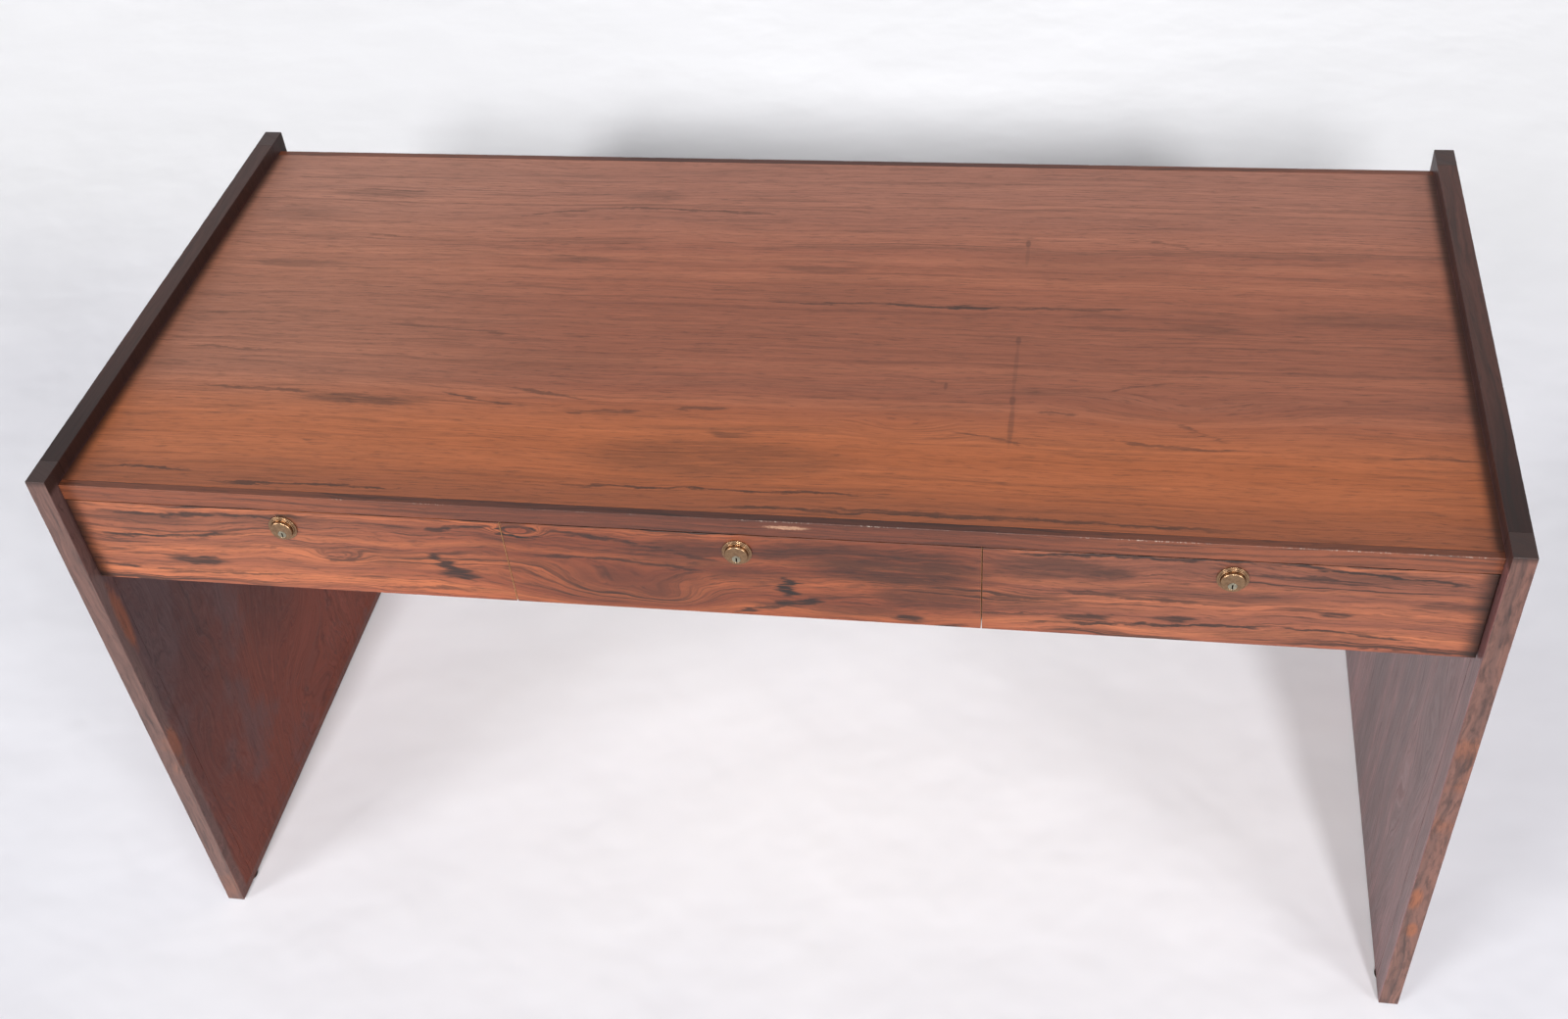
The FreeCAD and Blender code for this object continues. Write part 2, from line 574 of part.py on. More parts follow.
def drawer_back(name):
    inset = "dims.box_side_thickness - dims.back_housing + dims.glue_gap"
    place = (f"layout.{name}_box + {inset}", "layout.back_front", "layout.box_bottom + layout.back_lift")
    width = "layout.box_inner_width + 2 * (dims.back_housing - dims.glue_gap)"
    back = board(f"{name}_drawer_back", place, width, "dims.back_thickness", "layout.back_height")
    round_edges(back, "dims.box_round", across_top)
    return back


def drawer_bottom(name):
    inset = "dims.box_side_thickness - dims.bottom_groove + dims.glue_gap"
    place = (f"layout.{name}_box + {inset}", "layout.bottom_front",
             "layout.box_bottom + dims.bottom_lift + dims.glue_gap")
    return board(f"{name}_drawer_bottom", place, "layout.bottom_width", "layout.bottom_length",
                 "dims.bottom_thickness")


def drawers():
    for name in ("left", "middle"):
        front = drawer_front(name)
        left_side = drawer_side(name)
        box_middle = f"layout.{name}_box + layout.box_width / 2"
        right_side = mirror(f"{name}_drawer_right_side", left_side, box_middle)
        back = drawer_back(name)
        bottom = drawer_bottom(name)
        if name == "left":
            mirror("right_drawer_front", front)
            mirror("right_drawer_right_side", left_side)
            mirror("right_drawer_left_side", right_side)
            mirror("right_drawer_back", back)
            mirror("right_drawer_bottom", bottom)


# Locks: a fixed cylinder in a rosette, a plug whose driving pin lifts the bolt, and the case that guides it
LOCKS = ("left", "middle", "right")


def rosette(name, axis):
    body = new_body(f"{name}_lock_rosette", *axis)
    profile = new_sketch(body, "rosette_profile", "XY")
    draw_outline(profile, [
        ("layout.ring_radius", "0"),
        ("layout.rosette_radius", "0"),
        ("layout.rosette_radius", "-dims.flange_height"),
        ("layout.step_radius", "-dims.flange_height"),
        ("layout.step_radius", "-dims.step_height"),
        ("layout.ring_radius", "-dims.step_height"),
    ])
    revolve(body, "turned_rosette", profile)


def barrel(name, axis):
    body = new_body(f"{name}_lock_barrel", *axis)
    profile = new_sketch(body, "barrel_profile", "XY")
    draw_outline(profile, [
        ("0", "-dims.head_rise"),
        ("layout.head_radius - dims.head_bevel", "-dims.head_rise"),
        ("layout.head_radius", "dims.head_bevel - dims.head_rise"),
        ("layout.head_radius", "0"),
        ("layout.barrel_radius", "0"),
        ("layout.barrel_radius", "dims.front_thickness"),
        ("0", "dims.front_thickness"),
    ])
    revolve(body, "turned_barrel", profile)
    drill(body, "plug_bore", "XZ", "-dims.head_rise", [("0", "-layout.plug_drop")],
          "dims.plug_diameter + 2 * dims.running_fit", "dims.head_rise + dims.front_thickness", "+")


def plug(name, axis):
    """The turning plug: a rod with a keyway in its face and, behind the cylinder, a cam with the driving pin."""
    body = new_body(f"{name}_lock_plug", *axis)
    rod = new_sketch(body, "rod_outline", "XZ", "-dims.head_rise")
    draw_circle(rod, "0", "0", "dims.plug_diameter")
    pad(body, "rod", rod, "XZ", "dims.head_rise + layout.cam_front")
    cam = ("-layout.cam_half", "-layout.cam_reach", "layout.cam_half + layout.cam_reach",
           "layout.cam_half + layout.cam_reach")
    add_block(body, "cam", "XZ", "layout.cam_front", cam, "dims.cam_thickness")
    pin = new_sketch(body, "pin_outline", "XZ", "layout.cam_back")
    draw_circle(pin, "layout.pin_offset", "-layout.pin_offset", "dims.pin_diameter")
    pad(body, "pin", pin, "XZ", "layout.bolt_back - layout.cam_back")
    dimple = new_sketch(body, "dimple_profile", "XY")
    draw_outline(dimple, [
        ("0", "-dims.head_rise"),
        ("dims.dimple_diameter / 2", "-dims.head_rise"),
        ("0", "dims.dimple_depth - dims.head_rise"),
    ])
    revolve(body, "dimple", dimple, "PartDesign::Groove")
    mouth = ("-dims.keyway_width / 2", "-dims.keyway_drop - dims.keyway_height / 2",
             "dims.keyway_width", "dims.keyway_height")
    cut_block(body, "keyway", "XZ", "-dims.head_rise", mouth, "dims.keyway_depth", "+")


def bolt(name, axis):
    body = new_body(f"{name}_lock_bolt", *axis)
    half, nose = "dims.bolt_width / 2", "layout.nose_width / 2"
    outline = new_sketch(body, "bolt_outline", "XZ", "layout.bolt_front")
    draw_outline(outline, [
        (f"-{half}", "layout.bolt_low"),
        (half, "layout.bolt_low"),
        (half, "layout.bolt_shoulder"),
        (nose, "layout.bolt_shoulder"),
        (nose, "layout.bolt_top"),
        (f"-{nose}", "layout.bolt_top"),
        (f"-{nose}", "layout.bolt_shoulder"),
        (f"-{half}", "layout.bolt_shoulder"),
    ])
    pad(body, "bolt_plate", outline, "XZ", "dims.bolt_thickness")
    slot = ("layout.slot_left", "layout.slot_low", "layout.slot_width", "layout.slot_height")
    cut_block(body, "pin_slot", "XZ", "layout.bolt_front", slot, "dims.bolt_thickness", "+")


def case(name, axis):
    """A pressed tray with ears, open towards the drawer front, and a window for the bolt's nose."""
    body = new_body(f"{name}_lock_case", *axis)
    start, low, height = "dims.front_thickness", "layout.case_low", "layout.case_height"
    ears = ("-layout.ear_width / 2", low, "layout.ear_width", height)
    add_block(body, "ears", "XZ", start, ears, "dims.case_wall")
    tray = ("-layout.case_width / 2", low, "layout.case_width", height)
    add_block(body, "tray", "XZ", start, tray, f"layout.case_inner_back + dims.case_wall - {start}")
    hollow = ("-layout.case_inner_width / 2", "layout.case_inner_low", "layout.case_inner_width",
              "layout.case_inner_high - layout.case_inner_low")
    cut_block(body, "hollow", "XZ", start, hollow, f"layout.case_inner_back - {start}", "+")
    window = ("-layout.nose_width / 2 - dims.running_gap", "layout.bolt_front - dims.running_gap",
              "layout.nose_width + 2 * dims.running_gap", "dims.bolt_thickness + 2 * dims.running_gap")
    cut_block(body, "bolt_window", "XY", f"{low} + {height}", window, "dims.case_wall", "-")


def strike_plate(name, place):
    body = new_body(f"{name}_strike_plate", *place)
    plate = ("-layout.strike_length / 2", "-layout.strike_depth / 2", "layout.strike_length", "layout.strike_depth")
    add_block(body, "plate", "XY", "0", plate, "dims.strike_thickness")
    mouth = ("-layout.strike_slot_length / 2", "-layout.strike_slot_depth / 2", "layout.strike_slot_length",
             "layout.strike_slot_depth")
    cut_block(body, "bolt_slot", "XY", "0", mouth, "dims.strike_thickness", "+")


def locks():
    for name in LOCKS:
        across = f"layout.{name}_lock"
        cylinder_axis = (across, "layout.face", "layout.lock_height")
        plug_axis = (across, "layout.face", "layout.plug_height")
        rosette(name, cylinder_axis)
        barrel(name, cylinder_axis)
        plug(name, plug_axis)
        bolt(name, plug_axis)
        case(name, plug_axis)
        strike_plate(name, (across, "layout.face + layout.bolt_middle", "layout.top_underside"))


# Floor glides: turned discs under the foot of each side panel, as one set of separate solids
GLIDE_SETBACKS = ("dims.glide_setback", "dims.desk_depth - dims.glide_setback")


def floor_glides():
    pattern = new_body("floor_glide", kept=False)
    rim = new_sketch(pattern, "glide_rim", "XY")
    draw_circle(rim, "0", "0", "dims.glide_diameter")
    pad(pattern, "turned_glide", rim, "XY", "dims.glide_height")
    glides = []
    for sign in (1, -1):
        for setback in GLIDE_SETBACKS:
            glide = pattern.Shape.copy()
            centre = number(f"{sign} * layout.glide_centre")
            glide.translate(FreeCAD.Vector(centre, number(f"layout.panel_front + {setback}"), 0))
            glides.append(glide)
    group = doc.addObject("Part::Feature", "floor_glides")
    group.Label = "floor_glides"
    group.Shape = Part.makeCompound(glides)
    nodes.append(group)


side_panels()
top()
back_rail()
dividers()
runners()
drawers()
locks()
floor_glides()
doc.recompute()

# Nothing is written unless every piece came out whole
for thing in doc.Objects:
    if "Invalid" in thing.State or "Error" in thing.State:
        raise ValueError(f"{thing.Label} failed: {thing.State}")
for node in nodes:
    if node.Shape.isNull() or not node.Shape.isValid() or not node.Shape.Solids:
        raise ValueError(f"{node.Label} has no sound shape")

os.makedirs("parts", exist_ok=True)
for node in nodes:
    node.Shape.exportStep(f"parts/{node.Label}.step")
box = Part.makeCompound([node.Shape for node in nodes]).BoundBox
print(len(nodes), "nodes,", f"{box.XLength:.1f} x {box.YLength:.1f} x {box.ZLength:.1f} mm")
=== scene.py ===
# %% [markdown]
# # An office desk in rosewood
# A writing top hangs between two slab sides that rise a little above it, and three flush drawers with
# brass cylinder locks close the front. The solids come from the construction model and stay where they
# are. This lesson adds what the eye needs: the figure of the veneer, worn arrises, turned brass, screws
# and light.

import math

import bmesh
import bpy
from mathutils import Matrix, Vector, noise


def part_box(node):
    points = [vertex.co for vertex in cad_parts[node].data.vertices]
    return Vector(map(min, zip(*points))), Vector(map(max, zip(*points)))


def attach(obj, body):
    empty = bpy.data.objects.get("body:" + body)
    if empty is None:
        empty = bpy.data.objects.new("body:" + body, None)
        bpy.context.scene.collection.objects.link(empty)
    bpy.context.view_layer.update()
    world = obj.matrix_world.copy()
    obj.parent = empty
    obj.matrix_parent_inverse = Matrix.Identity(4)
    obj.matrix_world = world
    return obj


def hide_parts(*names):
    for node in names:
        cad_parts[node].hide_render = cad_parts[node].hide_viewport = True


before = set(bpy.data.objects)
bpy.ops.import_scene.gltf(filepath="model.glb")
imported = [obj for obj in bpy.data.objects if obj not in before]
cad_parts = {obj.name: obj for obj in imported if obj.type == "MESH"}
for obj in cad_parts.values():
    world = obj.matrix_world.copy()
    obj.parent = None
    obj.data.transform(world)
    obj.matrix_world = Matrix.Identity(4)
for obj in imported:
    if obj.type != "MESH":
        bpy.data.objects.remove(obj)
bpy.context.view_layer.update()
MM = 0.001
LOCK_NAMES = ("left", "middle", "right")
SIDES = ("left", "right")
scene = bpy.context.scene

# %% [markdown]
# ## The camera
# The photograph was taken by someone standing in front of the desk and looking down at about 45 degrees,
# with the camera rolled a little. Place, angles and focal length were found by matching the desk's
# corners. The two shifts say how far the picture's middle lies from the lens axis, because the photograph
# is cropped.

# %% Camera at the photograph's view
IMAGE_WIDTH = 1600
EYE = Vector((0.33647, -1.64039, 1.91406))
YAW, PITCH, ROLL = -0.23157, 0.78319, 0.10461
FOCAL_PIXELS = 1802.28
OFF_AXIS = (-10.63, 114.27)

forward = Vector((math.sin(YAW) * math.cos(PITCH), math.cos(YAW) * math.cos(PITCH), -math.sin(PITCH)))
level = Vector((math.cos(YAW), -math.sin(YAW), 0))
down = forward.cross(level)
right = math.cos(ROLL) * level + math.sin(ROLL) * down
up = math.sin(ROLL) * level - math.cos(ROLL) * down
lens = bpy.data.cameras.new("photo_lens")
lens.sensor_width = 36
lens.lens = FOCAL_PIXELS * lens.sensor_width / IMAGE_WIDTH
lens.shift_x = -OFF_AXIS[0] / IMAGE_WIDTH
lens.shift_y = OFF_AXIS[1] / IMAGE_WIDTH
camera = bpy.data.objects.new("photo_camera", lens)
turn = Matrix((right, up, -forward)).transposed().to_4x4()
camera.matrix_world = Matrix.Translation(EYE) @ turn
scene.collection.objects.link(camera)
scene.camera = camera
print(f"focal length {lens.lens:.1f} mm")

# %% [markdown]
# ## Colours and nodes
# Colours are written as sRGB hex values, as a picture editor shows them, and the shaders want linear
# light. One small function adds a node, sets its properties and fills its inputs, so that a material
# below reads as a list of what it is made of.

# %% One colour function and one node function
def linear(hex_colour):
    """An sRGB hex colour in linear light."""
    channels = [int(hex_colour[start:start + 2], 16) / 255 for start in (1, 3, 5)]
    bright = [c / 12.92 if c <= 0.04045 else ((c + 0.055) / 1.055) ** 2.4 for c in channels]
    return (*bright, 1.0)


def add(tree, kind, *inputs, named=None, out=0, **settings):
    """Adds one node and returns its output number out, or the node itself where out is None.

    Inputs fill the sockets in order, and named fills them by name or number. A kind without the word Node
    in it is a shader node: Math means ShaderNodeMath."""
    node = tree.nodes.new(kind if "Node" in kind else "ShaderNode" + kind)
    for key, value in settings.items():
        setattr(node, key, value)
    filled = list(zip(node.inputs, inputs))
    filled += [(node.inputs[key], value) for key, value in (named or {}).items()]
    for socket, value in filled:
        if isinstance(value, bpy.types.NodeSocket):
            tree.links.new(value, socket)
        elif value is not None:
            socket.default_value = value
    return node if out is None else node.outputs[out]


# Settings that many nodes share: a ramp that starts and ends softly, and a mix of two colours
SOFT = {"interpolation_type": "SMOOTHSTEP"}
TINT = {"data_type": "RGBA", "out": 2}


def new_material(name):
    """An empty material and its node tree."""
    material = bpy.data.materials.new(name)
    material.use_nodes = True
    material.node_tree.nodes.clear()
    return material, material.node_tree


print("white in linear light", linear("#FFFFFF")[:3])

# %% [markdown]
# ## The studio
# The desk stands on a wide sheet of white paper. Real paper is never quite flat, so slow folds change its
# tone a little. Far behind the desk the paper is painted lighter, a painted pool of light. Most tints below
# come in as a wash: nothing at one place and a full share at another.

# %% Paper floor
def wash(tree, colour, where, start, end, share, tint, ramp="SMOOTHSTEP"):
    """Lets a tint come in between two places: nothing at start, and its full share from end on."""
    amount = add(tree, "MapRange", where, start, end, 0.0, share, interpolation_type=ramp)
    return add(tree, "Mix", named={0: amount, 6: colour, 7: linear(tint)}, **TINT)


# White paper: matt, with soft folds that keep a bare floor from looking like one flat colour
FOLDS_PER_METRE = 2.4  # one every 42 cm
paper, tree = new_material("white_background_paper")
spot = add(tree, "TexCoord", out=3)
crease = add(tree, "TexNoise", spot, None, FOLDS_PER_METRE, 4.0, 0.55, None, 1.5)
tone = add(tree, "Mix", named={0: crease, 6: linear("#E5E5EC"), 7: linear("#F1F1F6")}, **TINT)
# Painted light: far behind the desk the paper is painted lighter
tone = wash(tree, tone, add(tree, "SeparateXYZ", spot, out=1), 0.7, 1.6, 1.0, "#F9F9FC")
folds = add(tree, "Bump", named={"Strength": 0.35, "Distance": 0.02, "Height": crease})
sheet = add(tree, "BsdfPrincipled", named={
    "Base Color": tone, "Roughness": 0.9, "Specular IOR Level": 0.1, "Normal": folds})
add(tree, "OutputMaterial", sheet, out=None)

REACH = 9.0
floor_mesh = bpy.data.meshes.new("paper_floor")
corners = [(-REACH, -REACH, 0), (REACH, -REACH, 0), (REACH, REACH, 0), (-REACH, REACH, 0)]
floor_mesh.from_pydata(corners, [], [(0, 1, 2, 3)])
floor_mesh.materials.append(paper)
floor = bpy.data.objects.new("paper_floor", floor_mesh)
scene.collection.objects.link(floor)
print("paper", 2 * REACH, "m wide")

# %% [markdown]
# ## Light
# Two narrow lights low beside the camera throw the soft shadow behind the desk, and two wider and lower
# ones light it from the left and the right. The white room around is a plain world colour: full where the
# camera looks at it, weaker in reflections, and weakest where it only fills the shadows.

# %% Softboxes and white room
# Each light: degrees to the right of the desk's front, degrees above the floor, degrees wide, strength
SOFTBOXES = (("front_left_softbox", -3, 28, 6, 1.93), ("front_right_softbox", 12, 28, 6, 1.80),
             ("left_softbox", -44, 15, 24, 2.35), ("right_softbox", 47, 15, 24, 1.90))
for name, sideways, above, wide, strength in SOFTBOXES:
    lamp = bpy.data.lights.new(name, "SUN")
    lamp.angle = math.radians(wide)
    lamp.energy = strength
    lamp_object = bpy.data.objects.new(name, lamp)
    lamp_object.rotation_euler = (math.radians(90 - above), 0, math.radians(sideways))
    scene.collection.objects.link(lamp_object)

ROOM_WHITE = "#F3F1F5"
ROOM_FILL = 0.11
ROOM_SHEEN = 0.75
room = bpy.data.worlds.new("white_room")
room.use_nodes = True
tree = room.node_tree
tree.nodes.clear()
rays = add(tree, "LightPath", out=None).outputs
strength = add(tree, "MapRange", rays["Is Glossy Ray"], 0.0, 1.0, ROOM_FILL, ROOM_SHEEN)
strength = add(tree, "Math", strength, rays["Is Camera Ray"], operation="MAXIMUM")
light = add(tree, "Background", linear(ROOM_WHITE), strength)
add(tree, "OutputWorld", light, out=None)
scene.world = room
scene.view_settings.view_transform = "Standard"
print(len(SOFTBOXES), "softboxes")

# %% [markdown]
# ## The figure of rosewood
# Rosewood shows growth rings cut lengthways: bands of orange and purple brown, charcoal veins along some
# of the rings, fine grain lines and long open pores. One group makes all of these from a board's own
# length and width. The width is first pushed about by slow noise, and everything else follows that bent
# width, as rings do.

# %% Group: a board whose rings wander
def new_group(name, inputs, outputs):
    """A shader group whose sockets are all plain numbers."""
    group = bpy.data.node_groups.new(name, "ShaderNodeTree")
    for in_out, sockets in (("INPUT", inputs), ("OUTPUT", outputs)):
        for socket in sockets:
            group.interface.new_socket(socket, in_out=in_out, socket_type="NodeSocketFloat")
    return group, group.nodes.new("NodeGroupInput").outputs, group.nodes.new("NodeGroupOutput").inputs


def stretched_noise(tree, along, across, seed, length, width, detail):
    """Noise drawn out along the grain. Length and width are metres, or sockets that carry metres."""
    x = add(tree, "Math", along, length, operation="DIVIDE")
    y = add(tree, "Math", across, width, operation="DIVIDE")
    point = add(tree, "CombineXYZ", x, y, seed)
    return add(tree, "TexNoise", point, None, 1.0, detail, 0.6)


FIGURE, given, made = new_group(
    "rosewood_figure", ("Along", "Across", "Seed", "Drift", "Ring width", "Flame length"),
    ("Across", "Band", "Slow", "Vein", "Line", "Flame", "Grain", "Pore"))
along, seed = given["Along"], given["Seed"]
# Each bend is a length and a width in metres over which the rings wander, and a share of the drift
BENDS = ((0.90, 0.260, 1.0), (0.24, 0.075, 0.34), (0.07, 0.026, 0.10), (0.022, 0.007, 0.045))
bent = given["Across"]
for length, width, share in BENDS:
    sway = stretched_noise(FIGURE, along, given["Across"], seed, length, width, 2.0)
    sway = add(FIGURE, "Math", sway, -0.5, operation="ADD")
    sway = add(FIGURE, "Math", sway, given["Drift"], operation="MULTIPLY")
    bent = add(FIGURE, "Math", sway, 2 * share, bent, operation="MULTIPLY_ADD")
print(len(BENDS), "bends")

# %% [markdown]
# On the bent board, noise of one dimension runs across the rings and so is the same all along each of
# them. Noise drawn out along the grain then breaks these endless lines up, as a real board does.

# %% Rings, veins, flames, grain and pores
# The scale of a noise of one dimension says how many of its waves lie in one ring
rings = add(FIGURE, "Math", bent, given["Ring width"], operation="DIVIDE")
rings = add(FIGURE, "Math", rings, seed, operation="ADD")
band = add(FIGURE, "TexNoise", None, rings, 0.7, 4.0, 0.65, noise_dimensions="1D")
band = add(FIGURE, "MapRange", band, 0.36, 0.64, 0.0, 1.0)
slow = add(FIGURE, "TexNoise", None, rings, 0.15, 2.0, 0.5, noise_dimensions="1D")
slow = add(FIGURE, "MapRange", slow, 0.38, 0.64, 0.0, 0.8)
# A fine line is never as long as the board: it comes and goes within about 15 cm
hair = add(FIGURE, "TexNoise", None, rings, 5.5, 2.0, 0.5, noise_dimensions="1D")
hair = add(FIGURE, "MapRange", hair, 0.36, 0.62, -0.5, 0.5)
broken = stretched_noise(FIGURE, along, bent, seed, 0.15, 0.012, 3.0)
broken = add(FIGURE, "MapRange", broken, 0.40, 0.62, 0.0, 1.0)
hair = add(FIGURE, "Math", hair, broken, 0.5, operation="MULTIPLY_ADD")
# A vein fades in and out along the board, over about 25 cm
vein = add(FIGURE, "TexNoise", None, rings, 1.9, 3.0, 0.55, noise_dimensions="1D")
vein = add(FIGURE, "MapRange", vein, 0.56, 0.68, 0.0, 1.0, **SOFT)
fade = stretched_noise(FIGURE, along, bent, seed, 0.25, 0.030, 2.0)
fade = add(FIGURE, "MapRange", fade, 0.42, 0.60, 0.0, 1.0, **SOFT)
vein = add(FIGURE, "Math", vein, fade, operation="MULTIPLY")
flame_width = add(FIGURE, "Math", given["Ring width"], 0.3, operation="MULTIPLY")
flame = stretched_noise(FIGURE, along, bent, seed, given["Flame length"], flame_width, 5.0)
flame = add(FIGURE, "MapRange", flame, 0.50, 0.70, 0.0, 1.0, **SOFT)
layers = {"Across": bent, "Band": band, "Slow": slow, "Vein": vein, "Line": hair, "Flame": flame}
# Grain lines 60 mm long and 2.2 mm apart, and pores 20 mm by 1.6 mm: coarser than life, so that they show
FINE_LINES = (("Grain", 60, 2.2, 0.30, 0.70), ("Pore", 20, 1.6, 0.54, 0.70))
for socket, length, width, low, high in FINE_LINES:
    lines = stretched_noise(FIGURE, along, bent, seed, length * MM, width * MM, 3.0)
    layers[socket] = add(FIGURE, "MapRange", lines, low, high, 0.0, 1.0)
for socket, layer in layers.items():
    FIGURE.links.new(layer, made[socket])
print(len(FIGURE.nodes), "nodes in the figure")

# %% [markdown]
# ## Marks that this desk has
# The generic figure isn't enough: a leaf of veneer is known by its marks. Three small groups draw them. A
# streak runs from one place to another, a cloud is a soft dark patch, and a bulge pushes the rings up
# until they close, as around a knot. A streak is a distance from a sagging line, thinner and fainter
# towards both of its ends.

# %% Group: streak
STREAK, given, made = new_group(
    "dark_streak",
    ("Along", "Across", "Start", "Start across", "End", "End across", "Sag", "Width", "Depth"), ("Mask",))
run = add(STREAK, "Math", given["End"], given["Start"], operation="SUBTRACT")
step = add(STREAK, "Math", given["Along"], given["Start"], operation="SUBTRACT")
step = add(STREAK, "Math", step, run, operation="DIVIDE")
opening = add(STREAK, "MapRange", step, 0.0, 0.22, 0.0, 1.0, **SOFT)
closing = add(STREAK, "MapRange", step, 0.78, 1.0, 1.0, 0.0, **SOFT)
window = add(STREAK, "Math", opening, closing, operation="MULTIPLY")
rise = add(STREAK, "Math", given["End across"], given["Start across"], operation="SUBTRACT")
centre = add(STREAK, "Math", step, rise, given["Start across"], operation="MULTIPLY_ADD")
# The line sags by 4 times step times (1 - step), which is 1 in its middle
bow = add(STREAK, "Math", step, step, operation="MULTIPLY")
bow = add(STREAK, "Math", step, bow, operation="SUBTRACT")
bow = add(STREAK, "Math", bow, 4.0, operation="MULTIPLY")
centre = add(STREAK, "Math", bow, given["Sag"], centre, operation="MULTIPLY_ADD")
away = add(STREAK, "Math", given["Across"], centre, operation="SUBTRACT")
away = add(STREAK, "Math", away, operation="ABSOLUTE")
taper = add(STREAK, "Math", window, 0.8, 0.2, operation="MULTIPLY_ADD")
reach = add(STREAK, "Math", given["Width"], taper, operation="MULTIPLY")
away = add(STREAK, "Math", away, reach, operation="DIVIDE")
core = add(STREAK, "MapRange", away, 0.35, 1.0, 1.0, 0.0, **SOFT)
core = add(STREAK, "Math", core, window, operation="MULTIPLY")
STREAK.links.new(add(STREAK, "Math", core, given["Depth"], operation="MULTIPLY"), made["Mask"])
print(len(STREAK.nodes), "nodes in a streak")

# %% [markdown]
# A cloud and a bulge are both ellipses. A cloud is even inside and soft at its rim, and a bulge is a
# hill.

# %% Groups: cloud and bulge
ELLIPSE = ("Along", "Across", "Centre", "Centre across", "Half length", "Half width", "Depth")
# Each: its name in the lists, its group, what the group gives, and how far out its even middle reaches
ROUND_KINDS = (("cloud", "dark_cloud", "Mask", 0.45), ("bulge", "ring_bulge", "Rise", 0.0))
ROUND_MARKS = {}
for mark, group_name, result, edge in ROUND_KINDS:
    group, given, made = new_group(group_name, ELLIPSE, (result,))
    x = add(group, "Math", given["Along"], given["Centre"], operation="SUBTRACT")
    x = add(group, "Math", x, given["Half length"], operation="DIVIDE")
    y = add(group, "Math", given["Across"], given["Centre across"], operation="SUBTRACT")
    y = add(group, "Math", y, given["Half width"], operation="DIVIDE")
    flat = add(group, "CombineXYZ", x, y)
    away = add(group, "VectorMath", flat, operation="LENGTH", out=1)
    inside = add(group, "MapRange", away, edge, 1.0, 1.0, 0.0, **SOFT)
    group.links.new(add(group, "Math", inside, given["Depth"], operation="MULTIPLY"), made[result])
    ROUND_MARKS[mark] = group
CLOUD, BULGE = ROUND_MARKS["cloud"], ROUND_MARKS["bulge"]
MARK_GROUPS = {"streak": STREAK, "cloud": CLOUD}
print("marks:", ", ".join(group.name for group in (STREAK, CLOUD, BULGE)))

# %% [markdown]
# Marks are listed in millimetres. They keep their place on the board, but noise drawn out along the grain
# frays their edges and thins them, so that they belong to the wood.

# %% Marks drawn along the grain
# How many of a mark's sizes are lengths; what follows is a depth of colour
MARK_LENGTHS = {"streak": 6, "cloud": 4, "bulge": 5}
# Noise that frays the edges: its length and width along the grain, and how far it moves them, in metres
FRAYS = ((0.050, 0.016, 0.014), (0.016, 0.004, 0.006), (0.006, 0.0018, 0.003))
# The share of the rings' own wandering that the marks follow
FOLLOW = 0.20


def in_metres(marks):
    """Each mark's kind and its sizes, with the lengths in metres."""
    scaled = []
    for kind, *sizes in marks:
        count = MARK_LENGTHS[kind]
        scaled.append((kind, [size * MM for size in sizes[:count]] + sizes[count:]))
    return scaled


def swayed(tree, place, sway, reach):
    """Moves a place by noise, up to half of reach to either side."""
    sway = add(tree, "Math", sway, -0.5, operation="ADD")
    return add(tree, "Math", sway, reach, place, operation="MULTIPLY_ADD")


def draw_marks(tree, along, across, wander, seed, marks):
    """How dark the darkest streak or cloud is at each point."""
    frayed = add(tree, "Math", wander, FOLLOW, across, operation="MULTIPLY_ADD")
    for length, width, reach in FRAYS:
        sway = stretched_noise(tree, along, across, seed + 3, length, width, 2.0)
        frayed = swayed(tree, frayed, sway, reach)
    sway = stretched_noise(tree, along, across, seed + 5, 0.060, 0.0035, 3.0)
    drawn_out = swayed(tree, along, sway, 0.045)
    darkest = None
    for kind, sizes in marks:
        if kind in MARK_GROUPS:
            mark = add(tree, "Group", drawn_out, frayed, *sizes, node_tree=MARK_GROUPS[kind])
            darkest = add(tree, "Math", darkest, mark, operation="MAXIMUM") if darkest else mark
    thin = stretched_noise(tree, along, across, seed + 7, 0.045, 0.004, 4.0)
    thin = add(tree, "MapRange", thin, 0.32, 0.48, 0.4, 1.0)
    return add(tree, "Math", darkest, thin, operation="MULTIPLY")


print("frayed by", [reach / MM for *_, reach in FRAYS], "mm")

# %% [markdown]
# ## Rosewood as a material
# The real finish is an oiled, lightly lacquered veneer: satin, with the open pores just felt. The colour
# is built in layers from pale to dark, the fine grain multiplies it, and grain and pores also give the
# bump and the small changes of roughness.

# %% Rosewood from layers
# Rings also run through a board's thickness, at this slant, so that its edges show them too
SLANT = 0.6


